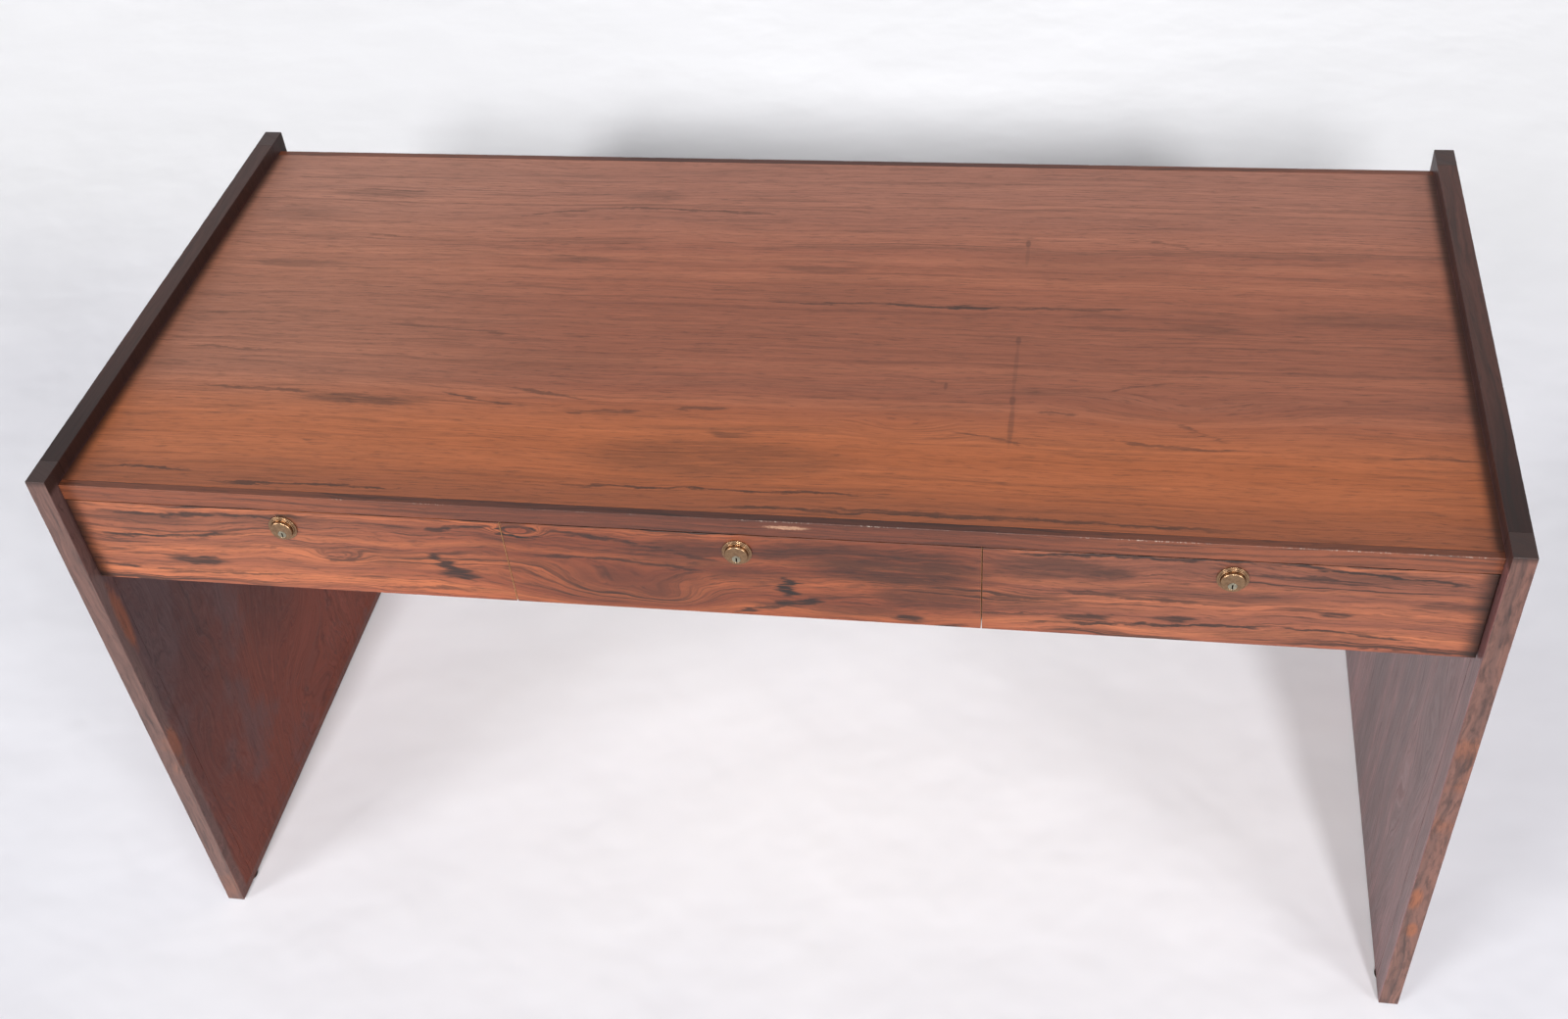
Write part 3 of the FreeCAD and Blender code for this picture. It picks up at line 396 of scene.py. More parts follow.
def rosewood(name, axes, tones, seed, drift, ring_width, vein, flame, flame_length, marks=(), satin=0.36,
             gloss=0.5, fineness=1.0, age_and_painted_light=None):
    """Rosewood with its grain along axes[0]. Tones are pale, middle, deep and vein colours.

    Drift, ring width and flame length are metres. Age and painted light is a function that adds what the
    years have done, and on some boards painted shade or sheen."""
    material, tree = new_material(name)
    place = add(tree, "TexCoord", out=3)
    split = add(tree, "SeparateXYZ", place, out=None).outputs
    along, across, through = (split[axis] for axis in axes)
    slanted = add(tree, "Math", through, SLANT, across, operation="MULTIPLY_ADD")
    marks = in_metres(marks)
    for kind, sizes in marks:
        if kind == "bulge":
            rise = add(tree, "Group", along, across, *sizes, node_tree=BULGE)
            slanted = add(tree, "Math", slanted, rise, operation="ADD")
    layer = add(tree, "Group", along, slanted, seed, drift, ring_width, flame_length, out=None,
                node_tree=FIGURE).outputs
    pale, mid, deep, dark = (linear(tone) for tone in tones)
    colour = add(tree, "Mix", named={0: layer["Band"], 6: mid, 7: pale}, **TINT)
    colour = add(tree, "Mix", named={0: layer["Slow"], 6: colour, 7: deep}, **TINT)
    if age_and_painted_light:
        colour = age_and_painted_light(tree, place, split, colour)
    veins = add(tree, "Math", layer["Vein"], vein, operation="MULTIPLY")
    flames = add(tree, "Math", layer["Flame"], flame, operation="MULTIPLY")
    streaks = add(tree, "Math", veins, flames, operation="MAXIMUM")
    if marks:
        wander = add(tree, "Math", layer["Across"], slanted, operation="SUBTRACT")
        drawn = draw_marks(tree, along, across, wander, seed, marks)
        streaks = add(tree, "Math", streaks, drawn, operation="MAXIMUM")
    colour = add(tree, "Mix", named={0: streaks, 6: colour, 7: dark}, **TINT)
    fine = add(tree, "Math", layer["Grain"], layer["Line"], operation="ADD")
    shade = add(tree, "MapRange", fine, 0.0, 2.0, 1 - 0.34 * fineness, 1 + 0.24 * fineness)
    colour = add(tree, "Mix", named={0: 1.0, 6: colour, 7: shade}, blend_type="MULTIPLY", **TINT)
    pores = add(tree, "Math", layer["Pore"], 0.45, operation="MULTIPLY")
    colour = add(tree, "Mix", named={0: pores, 6: colour, 7: dark}, **TINT)
    rough = add(tree, "MapRange", layer["Grain"], 0.0, 1.0, satin + 0.07, satin - 0.05)
    height = add(tree, "Math", layer["Pore"], -0.8, layer["Grain"], operation="MULTIPLY_ADD")
    bump = add(tree, "Bump", named={"Strength": 0.25, "Distance": 0.12 * MM, "Height": height})
    wood = add(tree, "BsdfPrincipled", named={
        "Base Color": colour, "Roughness": rough, "IOR": 1.5, "Specular IOR Level": gloss, "Normal": bump})
    add(tree, "OutputMaterial", wood, out=None)
    return material


print("layers: bands, age, veins, flames, marks, grain, pores")

# %% [markdown]
# ## Veneer of the drawer fronts
# One leaf of strongly figured veneer runs across all three fronts, so their material is one and reads the
# desk's own coordinates. The list names the main marks drawer by drawer, from left to right as seen
# from the front, and then the wide faint clouds. A streak has its start, its end, its sag, its half width
# and its depth of colour; a cloud and a bulge have their middle, their half sizes and their depth or rise.

# %% Marks of the drawer fronts
FRONT_MARKS = (
    ("streak", -736, 697, -430, 708, -3, 3.4, 0.85), ("streak", -736, 667, -540, 681, -6, 3.6, 0.85),
    ("streak", -740, 622, -672, 617, 0, 4.0, 0.80), ("streak", -700, 615, -465, 620, -2, 2.4, 0.60),
    ("cloud", -608, 632, 46, 9, 0.85), ("streak", -560, 652, -380, 664, 3, 2.0, 0.45),
    ("bulge", -440, 648, 50, 14, 14), ("streak", -468, 650, -412, 650, -6, 3.0, 0.65),
    ("streak", -466, 650, -414, 650, 4, 2.0, 0.45), ("streak", -350, 692, -252, 709, -1, 4.0, 0.80),
    ("streak", -345, 662, -285, 622, 0, 11.0, 0.90), ("cloud", -308, 634, 26, 10, 0.85),
    ("streak", -420, 606, -255, 612, 2, 2.6, 0.55), ("bulge", -232, 698, 46, 14, 18),
    ("streak", -268, 698, -198, 698, 8, 2.6, 0.95), ("streak", -266, 698, -200, 698, -7, 2.6, 0.95),
    ("streak", -225, 705, 10, 668, 5, 4.0, 0.75), ("streak", -250, 668, -5, 655, 6, 3.4, 0.70),
    ("bulge", -140, 622, 150, 48, 30), ("bulge", -72, 612, 70, 26, 16), ("cloud", 50, 642, 12, 18, 0.95),
    ("streak", 30, 616, 92, 629, 0, 6.0, 0.90), ("streak", -15, 600, 62, 622, 0, 4.0, 0.80),
    ("cloud", 34, 686, 30, 12, 0.60), ("streak", 40, 702, 250, 668, 2, 7.0, 0.60),
    ("streak", 90, 692, 250, 688, 0, 5.0, 0.50), ("streak", 95, 657, 250, 640, 3, 3.0, 0.55),
    ("cloud", 176, 608, 20, 8, 0.85), ("cloud", 221, 600, 18, 6, 0.85),
    ("streak", 248, 704, 560, 709, 1, 2.8, 0.85), ("streak", 510, 710, 744, 690, 3, 3.6, 0.90),
    ("streak", 500, 694, 650, 689, 1, 3.2, 0.70), ("cloud", 372, 685, 44, 9, 0.60),
    ("streak", 300, 664, 510, 651, -3, 3.0, 0.65), ("cloud", 601, 645, 26, 6, 0.85),
    ("cloud", 355, 624, 36, 7, 0.80), ("cloud", 444, 630, 26, 7, 0.80),
    ("streak", 270, 609, 580, 623, 4, 2.6, 0.85), ("streak", 540, 624, 690, 616, 0, 3.0, 0.80),
    ("streak", 248, 641, 320, 645, 0, 3.2, 0.65), ("streak", 215, 621, 420, 630, 0, 2.4, 0.65),
    ("streak", 610, 603, 744, 600, 0, 3.0, 0.80), ("cloud", 700, 662, 40, 6, 0.40),
    ("cloud", 160, 674, 130, 32, 0.66), ("cloud", 200, 640, 80, 24, 0.55), ("cloud", 90, 692, 90, 16, 0.55),
    ("cloud", -40, 690, 110, 12, 0.50), ("cloud", 20, 655, 70, 14, 0.40), ("cloud", 130, 615, 80, 12, 0.40),
    ("cloud", 320, 686, 90, 22, 0.50), ("cloud", 300, 642, 70, 16, 0.42),
    ("cloud", 470, 664, 130, 14, 0.32), ("cloud", -60, 670, 90, 12, 0.40),
    ("cloud", -660, 690, 80, 9, 0.35), ("cloud", -500, 700, 90, 9, 0.30),
    ("cloud", -110, 630, 150, 36, 0.26), ("cloud", -380, 650, 60, 14, 0.28),
    ("cloud", 640, 700, 90, 12, 0.35), ("cloud", 560, 612, 120, 10, 0.35),
)
print(len(FRONT_MARKS), "marks on the drawer fronts")

# %% [markdown]
# The left front is paler, the right one browner and the middle one deeper. The corners beside the side
# panels and the upper edge under the top are darkened with painted shade.

# %% Drawer front veneer
FRAYS_PER_METRE = 45  # the edge of the painted shade is ragged, in steps of about 22 mm


def front_tints_and_painted_shade(tree, place, split, colour):
    """Tints along the three fronts, and painted shade at their ends and along their upper edge."""
    colour = wash(tree, colour, split["X"], -0.24, -0.52, 0.12, "#B07454")
    colour = wash(tree, colour, split["X"], 0.10, 0.40, 0.30, "#6E4738")
    far = add(tree, "Math", split["X"], operation="ABSOLUTE")
    colour = wash(tree, colour, far, 0.30, 0.22, 0.40, "#54230F")
    # Painted shade: the ends beside the side panels and the upper edge under the top are darkened
    ragged = add(tree, "TexNoise", place, None, FRAYS_PER_METRE, 3.0)
    far = add(tree, "Math", ragged, 12 * MM, far, operation="MULTIPLY_ADD")
    painted_shade = add(tree, "MapRange", far, 0.726, 0.748, 0.0, 0.92, **SOFT)
    above = add(tree, "MapRange", split["Z"], 0.7084, 0.7096, 0.0, 0.35)
    painted_shade = add(tree, "Math", painted_shade, above, operation="MAXIMUM")
    return add(tree, "Mix", named={0: painted_shade, 6: colour, 7: linear("#1C100C")}, **TINT)


# Strongly figured rosewood veneer: orange brown ground, near black swirls and knots, satin
front_veneer = rosewood(
    "figured_rosewood_veneer", "XZY", ("#A45B36", "#793C25", "#4D261A", "#0D0B09"), seed=4.7, drift=0.040,
    ring_width=0.012, vein=0.80, flame=0.64, flame_length=0.075, marks=FRONT_MARKS, fineness=1.35,
    age_and_painted_light=front_tints_and_painted_shade)
print(front_veneer.name, "with", len(front_veneer.node_tree.nodes), "nodes")

# %% [markdown]
# ## Veneer of the top
# The top is calmer: straight grain, wide soft bands and thin dark streaks. The marks of the
# left half come first and then those of the right half, each roughly from the back to the front, and last
# those along the front edge.

# %% Marks of the top
TOP_MARKS = (
    ("cloud", -563, 246, 90, 12, 0.34), ("streak", -610, 255, -490, 253, 0, 2.6, 0.47),
    ("cloud", -625, 87, 100, 11, 0.36), ("streak", -560, 150, -470, 152, 0, 2.2, 0.52),
    ("cloud", -655, 196, 75, 24, 0.23), ("cloud", -270, 110, 80, 10, 0.39),
    ("streak", -375, 196, -270, 221, 3, 3.4, 0.47), ("streak", -285, 221, -25, 213, 6, 3.2, 0.55),
    ("cloud", -204, 252, 60, 15, 0.26), ("streak", -715, -22, -615, -18, 0, 3.2, 0.39),
    ("streak", -490, -32, -285, -47, 0, 3.2, 0.44), ("streak", -715, -88, -565, -93, 0, 3.0, 0.47),
    ("cloud", -455, -176, 95, 12, 0.60), ("streak", -665, -160, -500, -170, 0, 3.0, 0.57),
    ("streak", -515, -170, -385, -178, 0, 5.0, 0.60), ("streak", -370, -156, -262, -178, 0, 3.4, 0.65),
    ("streak", -300, -142, -182, -160, 0, 3.2, 0.57), ("streak", -235, -184, -120, -178, 2, 4.4, 0.65),
    ("streak", -100, -174, -30, -167, 2, 4.4, 0.60), ("cloud", -25, -209, 36, 8, 0.52),
    ("cloud", -250, -95, 170, 34, 0.21), ("cloud", 25, 101, 65, 10, 0.36),
    ("streak", -45, 33, 130, 34, 0, 2.6, 0.72), ("streak", 85, 35, 260, 33, 0, 4.2, 0.95),
    ("streak", 235, 33, 405, 37, 0, 3.6, 0.62), ("streak", 395, 183, 475, 150, 3, 2.8, 0.39),
    ("cloud", 60, 60, 150, 40, 0.16), ("streak", 465, 150, 610, 158, -2, 2.8, 0.34),
    ("streak", 585, 156, 745, 154, 1, 2.8, 0.36), ("cloud", 470, 5, 55, 13, 0.31),
    ("cloud", 640, 31, 130, 17, 0.30), ("cloud", 330, 120, 160, 40, 0.16), ("bulge", 160, -190, 90, 30, 14),
    ("bulge", 450, -150, 170, 46, 22), ("streak", 200, -190, 290, -209, 2, 2.6, 0.55),
    ("streak", 290, -149, 340, -154, 0, 3.0, 0.55), ("streak", 358, -191, 520, -203, -4, 3.2, 0.55),
    ("streak", 425, -163, 496, -193, 2, 2.6, 0.49), ("streak", 355, -117, 436, -94, 2, 2.6, 0.47),
    ("streak", 635, -206, 745, -200, 2, 3.2, 0.55), ("streak", 138, -95, 200, -111, 0, 2.6, 0.34),
    ("cloud", -40, -250, 190, 42, 0.39), ("streak", -735, -309, -590, -307, 1, 2.6, 0.78),
    ("streak", -600, -325, -330, -322, 1, 2.4, 0.78), ("streak", -220, -303, 170, -299, 2, 2.2, 0.78),
    ("streak", -60, -326, 340, -324, 0, 3.2, 0.78), ("streak", 40, -320, 540, -328, 2, 3.4, 0.72),
)
# Stains across the grain: middle in x and y, half sizes, depth
STAINS = ((267, 165, 4, 10, 0.48), (267.5, 140, 3.2, 28, 0.20), (267, -27, 4, 10, 0.42),
          (267, -78, 3.2, 64, 0.22), (267, -134, 4.4, 11, 0.45), (268, -175, 4.2, 46, 0.36),
          (194, -113, 2.6, 9, 0.35))
print(len(TOP_MARKS), "marks and", len(STAINS), "stains on the top")

# %% [markdown]
# The top is paler to the left. Far away it is painted paler and greyer, a painted sheen, and it is most
# orange towards the sitter. Painted shade darkens it beside the side panels. The edge of a tray or a
# blotter has left a faint dotted line of stains across the grain.

# %% Top veneer
def top_tints_sheen_shade_and_stains(tree, place, split, colour):
    """Paler to the left, a painted sheen far away, warmer near the sitter, painted shade along the side
    panels, stains.
    """
    colour = wash(tree, colour, split["X"], -0.15, -0.60, 0.30, "#B08068")
    # Painted sheen: the top is paler and greyer far away
    colour = wash(tree, colour, split["Y"], 0.06, 0.30, 0.35, "#AE8070")
    colour = wash(tree, colour, split["Y"], -0.120, -0.225, 0.60, "#B66432")
    colour = wash(tree, colour, split["Y"], -0.265, -0.325, 0.65, "#7E472F")
    # Painted shade beside both side panels
    far = add(tree, "Math", split["X"], operation="ABSOLUTE")
    colour = wash(tree, colour, far, 0.726, 0.741, 0.84, "#24140F")
    stained = None
    for x, y, half_x, half_y, depth in STAINS:
        stain = add(tree, "Group", split["Y"], split["X"], y * MM, x * MM, half_y * MM, half_x * MM, depth,
                    node_tree=CLOUD)
        stained = add(tree, "Math", stained, stain, operation="MAXIMUM") if stained else stain
    return add(tree, "Mix", named={0: stained, 6: colour, 7: linear("#33201A")}, **TINT)


# Straight rosewood veneer: even warm brown with fine grain, a little duller than the fronts from use
top_veneer = rosewood(
    "straight_rosewood_veneer", "XYZ", ("#A4644A", "#93563F", "#854E3A", "#2F2018"), seed=11.3, drift=0.020,
    ring_width=0.022, vein=0.30, flame=0.30, flame_length=0.110, marks=TOP_MARKS, satin=0.42, fineness=0.8,
    age_and_painted_light=top_tints_sheen_shade_and_stains)
print(top_veneer.name, "with", len(top_veneer.node_tree.nodes), "nodes")

# %% [markdown]
# ## The faces of the sides
# The side panels have upright grain. The left one is dark, with purple blotches and a wide curl, and
# redder towards its foot. The right one is paler and straighter. Both darken above the top.

# %% Panel veneers
LEFT_MARKS = (("bulge", 40, -110, 420, 190, 120), ("cloud", 330, -40, 160, 110, 0.30))
# The last cloud is larger than the panel, so that thin dark dashes lie all over it
RIGHT_MARKS = (("bulge", 400, -290, 200, 60, 40), ("bulge", 250, -240, 160, 50, 34),
               ("cloud", 375, 0, 4000, 4000, 0.50))
# Orange patches on the left face, near its front edge: middle in z and y, half sizes
LEFT_PATCHES = ((525, -338, 62, 13), (313, -350, 40, 14))
BLOTCHES_PER_METRE = 9  # soft blotches of about 11 cm
NICKS_PER_METRE = 60  # the seams of the solid strips waver in steps of about 17 mm
PATCH_FRAY = 50  # how far, in mm, the same noise lifts the patches; it averages one half


def dark_rim(tree, place, split, colour):
    """Faces that are almost black above the top."""
    return wash(tree, colour, split["Z"], 0.727, 0.737, 0.85, "#2A1812")


def left_face(tree, place, split, colour):
    """Redder towards the foot, purple blotches, strips of solid wood around the veneer, orange patches."""
    slope = add(tree, "Math", split["Y"], 0.5, operation="MULTIPLY")
    slope = add(tree, "Math", split["Z"], -1.2, slope, operation="MULTIPLY_ADD")
    colour = wash(tree, colour, slope, -0.75, -0.15, 0.75, "#6A2B17")
    # The purple blotches are fewer towards the foot
    blotch = add(tree, "TexNoise", place, None, BLOTCHES_PER_METRE, 4.0, 0.6, None, 1.2)
    blotch = add(tree, "Math", slope, -0.2, blotch, operation="MULTIPLY_ADD")
    colour = wash(tree, colour, blotch, 0.52, 0.70, 0.55, "#4B3739")
    ragged = add(tree, "TexNoise", place, None, NICKS_PER_METRE, 3.0)
    depth = add(tree, "Math", ragged, 6 * MM, split["Y"], operation="MULTIPLY_ADD")
    colour = wash(tree, colour, depth, 0.3435, 0.3485, 0.85, "#241816", "LINEAR")
    strip = add(tree, "MapRange", depth, -0.3455, -0.3395, 0.70, 0.0)
    low = add(tree, "MapRange", split["Z"], 0.012, 0.016, 0.60, 0.0)
    strip = add(tree, "Math", strip, low, operation="MAXIMUM")
    colour = add(tree, "Mix", named={0: strip, 6: colour, 7: linear("#5E4743")}, **TINT)
    frayed = add(tree, "Math", ragged, PATCH_FRAY * MM, split["Z"], operation="MULTIPLY_ADD")
    for z, y, half_z, half_y in LEFT_PATCHES:
        lifted = z + PATCH_FRAY / 2
        patch = add(tree, "Group", frayed, depth, lifted * MM, y * MM, half_z * MM, half_y * MM, 0.60,
                    node_tree=CLOUD)
        colour = add(tree, "Mix", named={0: patch, 6: colour, 7: linear("#7E4327")}, **TINT)
    return dark_rim(tree, place, split, colour)


# Dark veneer, almost matt: the eye sees soft blotches more than lines
left_veneer = rosewood(
    "deep_rosewood_veneer_left", "ZYX", ("#5C3027", "#462722", "#372022", "#191115"), seed=21.9,
    drift=0.120, ring_width=0.036, vein=0.25, flame=0.25, flame_length=0.110, marks=LEFT_MARKS, satin=0.50,
    gloss=0.18, fineness=0.8, age_and_painted_light=left_face)
# Paler upright veneer with many thin dark dashes along the grain
right_veneer = rosewood(
    "deep_rosewood_veneer_right", "ZYX", ("#9B6765", "#7B5251", "#5D4041", "#2E2020"), seed=33.1,
    drift=0.050, ring_width=0.026, vein=0.35, flame=0.40, flame_length=0.200, marks=RIGHT_MARKS, gloss=0.4,
    age_and_painted_light=dark_rim)
# Plain straight veneer for the rail that nobody looks at
rail_veneer = rosewood(
    "straight_rosewood_veneer_rail", "XZY", ("#9A5B3F", "#854B36", "#6C3F31", "#2E211D"), seed=47.3,
    drift=0.050, ring_width=0.018, vein=0.50, flame=0.40, flame_length=0.120)
print("panel veneers:", left_veneer.name, right_veneer.name, rail_veneer.name)

# %% [markdown]
# ## Solid edges
# Solid lippings frame the panels and the top. Those upright and below have dark mottling and patches of
# orange sapwood, those on top of the sides are almost black at the front from hands and polish, and the
# top's own lipping has a chipped front arris and one scuff.

# %% What the years did to the edges
# Orange patches low on the right front edge: middle in x and z, half sizes
EDGE_PATCHES = ((748, 218, 10, 26), (754, 158, 9, 18))
SCUFF_MIDDLE = (53 * MM, 723.8 * MM, 0.0)
SCUFF_HALF = (24 * MM, 2.6 * MM)
# Patterns by how many fit into a metre in x, y and z: orange of 7 by 12 cm, mottling of 9 by 24 mm
ORANGE_PER_METRE = (14.0, 14.0, 8.0)
MOTTLES_PER_METRE = (110.0, 110.0, 42.0)
CHIPS_PER_METRE = 420  # chips of about 2.4 mm
GROUPS_PER_METRE = 11  # chips come in groups of about 9 cm


def sapwood(tree, place, split, colour):
    """A little orange, dark mottling that is stronger to the right, a dark upper end."""
    point = add(tree, "VectorMath", place, ORANGE_PER_METRE, operation="MULTIPLY")
    orange = add(tree, "TexNoise", point, None, 1.0, 4.0, 0.6)
    orange = add(tree, "MapRange", orange, 0.56, 0.66, 0.0, 0.40, **SOFT)
    for x, z, half_x, half_z in EDGE_PATCHES:
        patch = add(tree, "Group", split["Z"], split["X"], z * MM, x * MM, half_z * MM, half_x * MM, 0.75,
                    node_tree=CLOUD)
        orange = add(tree, "Math", orange, patch, operation="MAXIMUM")
    colour = add(tree, "Mix", named={0: orange, 6: colour, 7: linear("#7E482B")}, **TINT)
    point = add(tree, "VectorMath", place, MOTTLES_PER_METRE, operation="MULTIPLY")
    mottle = add(tree, "TexNoise", point, None, 1.0, 4.0, 0.65)
    mottle = add(tree, "MapRange", mottle, 0.48, 0.64, 0.0, 1.0, **SOFT)
    share = add(tree, "MapRange", split["X"], -0.7, 0.7, 0.18, 0.42)
    mottle = add(tree, "Math", mottle, share, operation="MULTIPLY")
    colour = add(tree, "Mix", named={0: mottle, 6: colour, 7: linear("#2A1A15")}, **TINT)
    colour = wash(tree, colour, split["X"], 0.7, -0.7, 0.4, "#503C37", "LINEAR")
    return wash(tree, colour, split["Z"], 0.742, 0.749, 0.9, "#2A1812", "LINEAR")


def dark_front(tree, place, split, colour):
    """Blackest where hands take hold, at the front."""
    return wash(tree, colour, split["Y"], -0.05, -0.30, 0.90, "#1F0D08")


def rubbed_arris(tree, place, split, colour):
    """Paler towards both ends, a scuff on the face, and pale flecks where the front arris is chipped."""
    far = add(tree, "Math", split["X"], operation="ABSOLUTE")
    colour = wash(tree, colour, far, 0.20, 0.50, 0.40, "#894C30")
    ragged = add(tree, "TexNoise", place, None, CHIPS_PER_METRE, 3.0, 0.7)
    flat = add(tree, "CombineXYZ", split["X"], split["Z"])
    flat = add(tree, "VectorMath", flat, SCUFF_MIDDLE, operation="SUBTRACT")
    flat = add(tree, "VectorMath", flat, (1 / SCUFF_HALF[0], 1 / SCUFF_HALF[1], 0.0), operation="MULTIPLY")
    scuff = add(tree, "VectorMath", flat, operation="LENGTH", out=1)
    scuff = add(tree, "Math", ragged, 1.4, scuff, operation="MULTIPLY_ADD")
    colour = wash(tree, colour, scuff, 1.75, 1.25, 0.75, "#A78167", "LINEAR")
    upper = add(tree, "MapRange", split["Z"], 0.7301, 0.7310, 0.0, 1.0)
    front = add(tree, "MapRange", split["Y"], -0.3430, -0.3438, 0.0, 1.0)
    arris = add(tree, "Math", upper, front, operation="MULTIPLY")
    # There are more groups of chips to the right
    groups = add(tree, "TexNoise", None, split["X"], GROUPS_PER_METRE, 2.0, 0.6, noise_dimensions="1D")
    groups = add(tree, "Math", split["X"], 0.16, groups, operation="MULTIPLY_ADD")
    groups = add(tree, "MapRange", groups, 0.50, 0.66, 0.0, 1.0)
    chips = add(tree, "MapRange", ragged, 0.52, 0.64, 0.0, 0.75)
    chips = add(tree, "Math", chips, groups, operation="MULTIPLY")
    arris = add(tree, "Math", arris, chips, operation="MULTIPLY")
    return add(tree, "Mix", named={0: arris, 6: colour, 7: linear("#B1A194")}, **TINT)


print(len(EDGE_PATCHES), "orange patches on the edges")

# %% [markdown]
# All solid edges are the same wood, cut in different directions: upright, front to back, or from side to
# side.

# %% Solid rosewood
SOLID_TONES = ("#734D41", "#5C4038", "#49342F", "#231917")
# Solid rosewood of the frames: brown with dark mottling, satin from rubbing
stile_wood, foot_wood = (
    rosewood(name, axes, SOLID_TONES, seed=seed, drift=0.030, ring_width=0.012, vein=0.5, flame=0.5,
             flame_length=0.06, age_and_painted_light=sapwood)
    for name, axes, seed in (("solid_rosewood_upright", "ZYX", 52.7), ("solid_rosewood_foot", "YZX", 61.3)))
# The same wood where it is blackened by hands: little colour, little gloss
head_wood = rosewood(
    "solid_rosewood_head", "YZX", ("#5A342A", "#452921", "#37221B", "#1B130F"), seed=71.9, drift=0.020,
    ring_width=0.010, vein=0.5, flame=0.4, flame_length=0.10, gloss=0.36, age_and_painted_light=dark_front)
# The lipping of the top: red brown, with dark lines along it
edge_wood = rosewood(
    "solid_rosewood_top_lipping", "XZY", ("#663421", "#4C2618", "#391D14", "#160E0A"), seed=83.1,
    drift=0.020, ring_width=0.012, vein=0.55, flame=0.6, flame_length=0.16, age_and_painted_light=rubbed_arris)
print("rosewood finishes:", len([m for m in bpy.data.materials if "rosewood" in m.name]))

# %% [markdown]
# ## Secondary woods
# The drawer boxes, runners and dividers are waxed beech: pale, with short dark flecks along the grain.
# The bottoms are birch plywood. Both use the same figure as the rosewood, with only its bands, grain and
# pores.

# %% Beech and plywood
def pale_wood(name, axes, tones, seed, fleck):
    """A pale even wood with soft rings and short flecks along its grain."""
    material, tree = new_material(name)
    place = add(tree, "TexCoord", out=3)
    split = add(tree, "SeparateXYZ", place, out=None).outputs
    along, across, through = (split[axis] for axis in axes)
    across = add(tree, "Math", through, SLANT, across, operation="MULTIPLY_ADD")
    drift, ring_width, flame_length = 0.03, 0.02, 0.1
    layer = add(tree, "Group", along, across, seed, drift, ring_width, flame_length, out=None,
                node_tree=FIGURE).outputs
    light, mid, dark = (linear(tone) for tone in tones)
    colour = add(tree, "Mix", named={0: layer["Band"], 6: mid, 7: light}, **TINT)
    flecks = add(tree, "Math", layer["Pore"], fleck, operation="MULTIPLY")
    colour = add(tree, "Mix", named={0: flecks, 6: colour, 7: dark}, **TINT)
    shade = add(tree, "MapRange", layer["Grain"], 0.0, 1.0, 0.92, 1.05)
    colour = add(tree, "Mix", named={0: 1.0, 6: colour, 7: shade}, blend_type="MULTIPLY", **TINT)
    rough = add(tree, "MapRange", layer["Grain"], 0.0, 1.0, 0.58, 0.46)
    bump = add(tree, "Bump", named={"Strength": 0.2, "Distance": 0.1 * MM, "Height": layer["Grain"]})
    wood = add(tree, "BsdfPrincipled", named={"Base Color": colour, "Roughness": rough, "Normal": bump})
    add(tree, "OutputMaterial", wood, out=None)
    return material


BEECH = ("#CDA67C", "#BC926A", "#8A6040")
beech_deep = pale_wood("waxed_beech_front_to_back", "YZX", BEECH, 5.1, 0.5)
beech_wide = pale_wood("waxed_beech_side_to_side", "XZY", BEECH, 9.7, 0.5)
plywood = pale_wood("birch_plywood", "XYZ", ("#D6B98E", "#C8A67A", "#A07C54"), 15.5, 0.25)
print("pale woods:", beech_deep.name, beech_wide.name, plywood.name)

# %% [markdown]
# ## Metals and plastic
# The lock's rosette and cylinder are aged brass, its plug has worn nickel, and all three were turned, so
# their fine marks run around the axis. Cases, bolts and most screws are plated steel, the strike plates
# and their screws brass, and the glides moulded plastic with a little dust on it.

# %% Brass, nickel, steel and black plastic
TARNISH_PER_METRE = 240  # patches of about 4 mm


def metal(name, colours, rough, mark_mm, attribute=None):
    """Metal with patches of tarnish, and tool marks or grit of the given size.

    Tool marks follow an attribute of the mesh, the distance from its axis; grit lies all over."""
    material, tree = new_material(name)
    place = add(tree, "TexCoord", out=3)
    patch = add(tree, "TexNoise", place, None, TARNISH_PER_METRE, 3.0, 0.6)
    tarnish = add(tree, "MapRange", patch, 0.30, 0.74, 0.0, 1.0)
    clean, dull = (linear(colour) for colour in colours)
    colour = add(tree, "Mix", named={0: tarnish, 6: clean, 7: dull}, **TINT)
    scale = 1 / (mark_mm * MM)
    if attribute:
        away = add(tree, "Attribute", out=2, attribute_name=attribute)
        lines = add(tree, "TexNoise", None, away, scale, 2.0, 0.5, noise_dimensions="1D")
    else:
        lines = add(tree, "TexNoise", place, None, scale, 2.0)
    shine = add(tree, "Math", lines, tarnish, operation="ADD")
    shine = add(tree, "MapRange", shine, 0.4, 1.6, rough - 0.06, rough + 0.14)
    bump = add(tree, "Bump", named={"Strength": 0.25, "Distance": 0.03 * MM, "Height": lines})
    surface = add(tree, "BsdfPrincipled", named={
        "Base Color": colour, "Metallic": 1.0, "Roughness": shine, "Normal": bump})
    add(tree, "OutputMaterial", surface, out=None)
    return material


# Turned metals glint in thin rings, drawn coarser than life so that they show; sheet brass and plated
# steel are duller and even
brass = metal("aged_turned_brass", ("#A18263", "#7C6049"), 0.22, 0.5, "from_axis")
plug_metal = metal("worn_nickel_plate", ("#B2AB96", "#8E8874"), 0.16, 0.4, "from_axis")
plate_brass = metal("aged_brass_sheet", ("#9C8458", "#75603E"), 0.32, 0.8)
steel = metal("plated_steel", ("#9C9A96", "#7E7B76"), 0.32, 0.8)

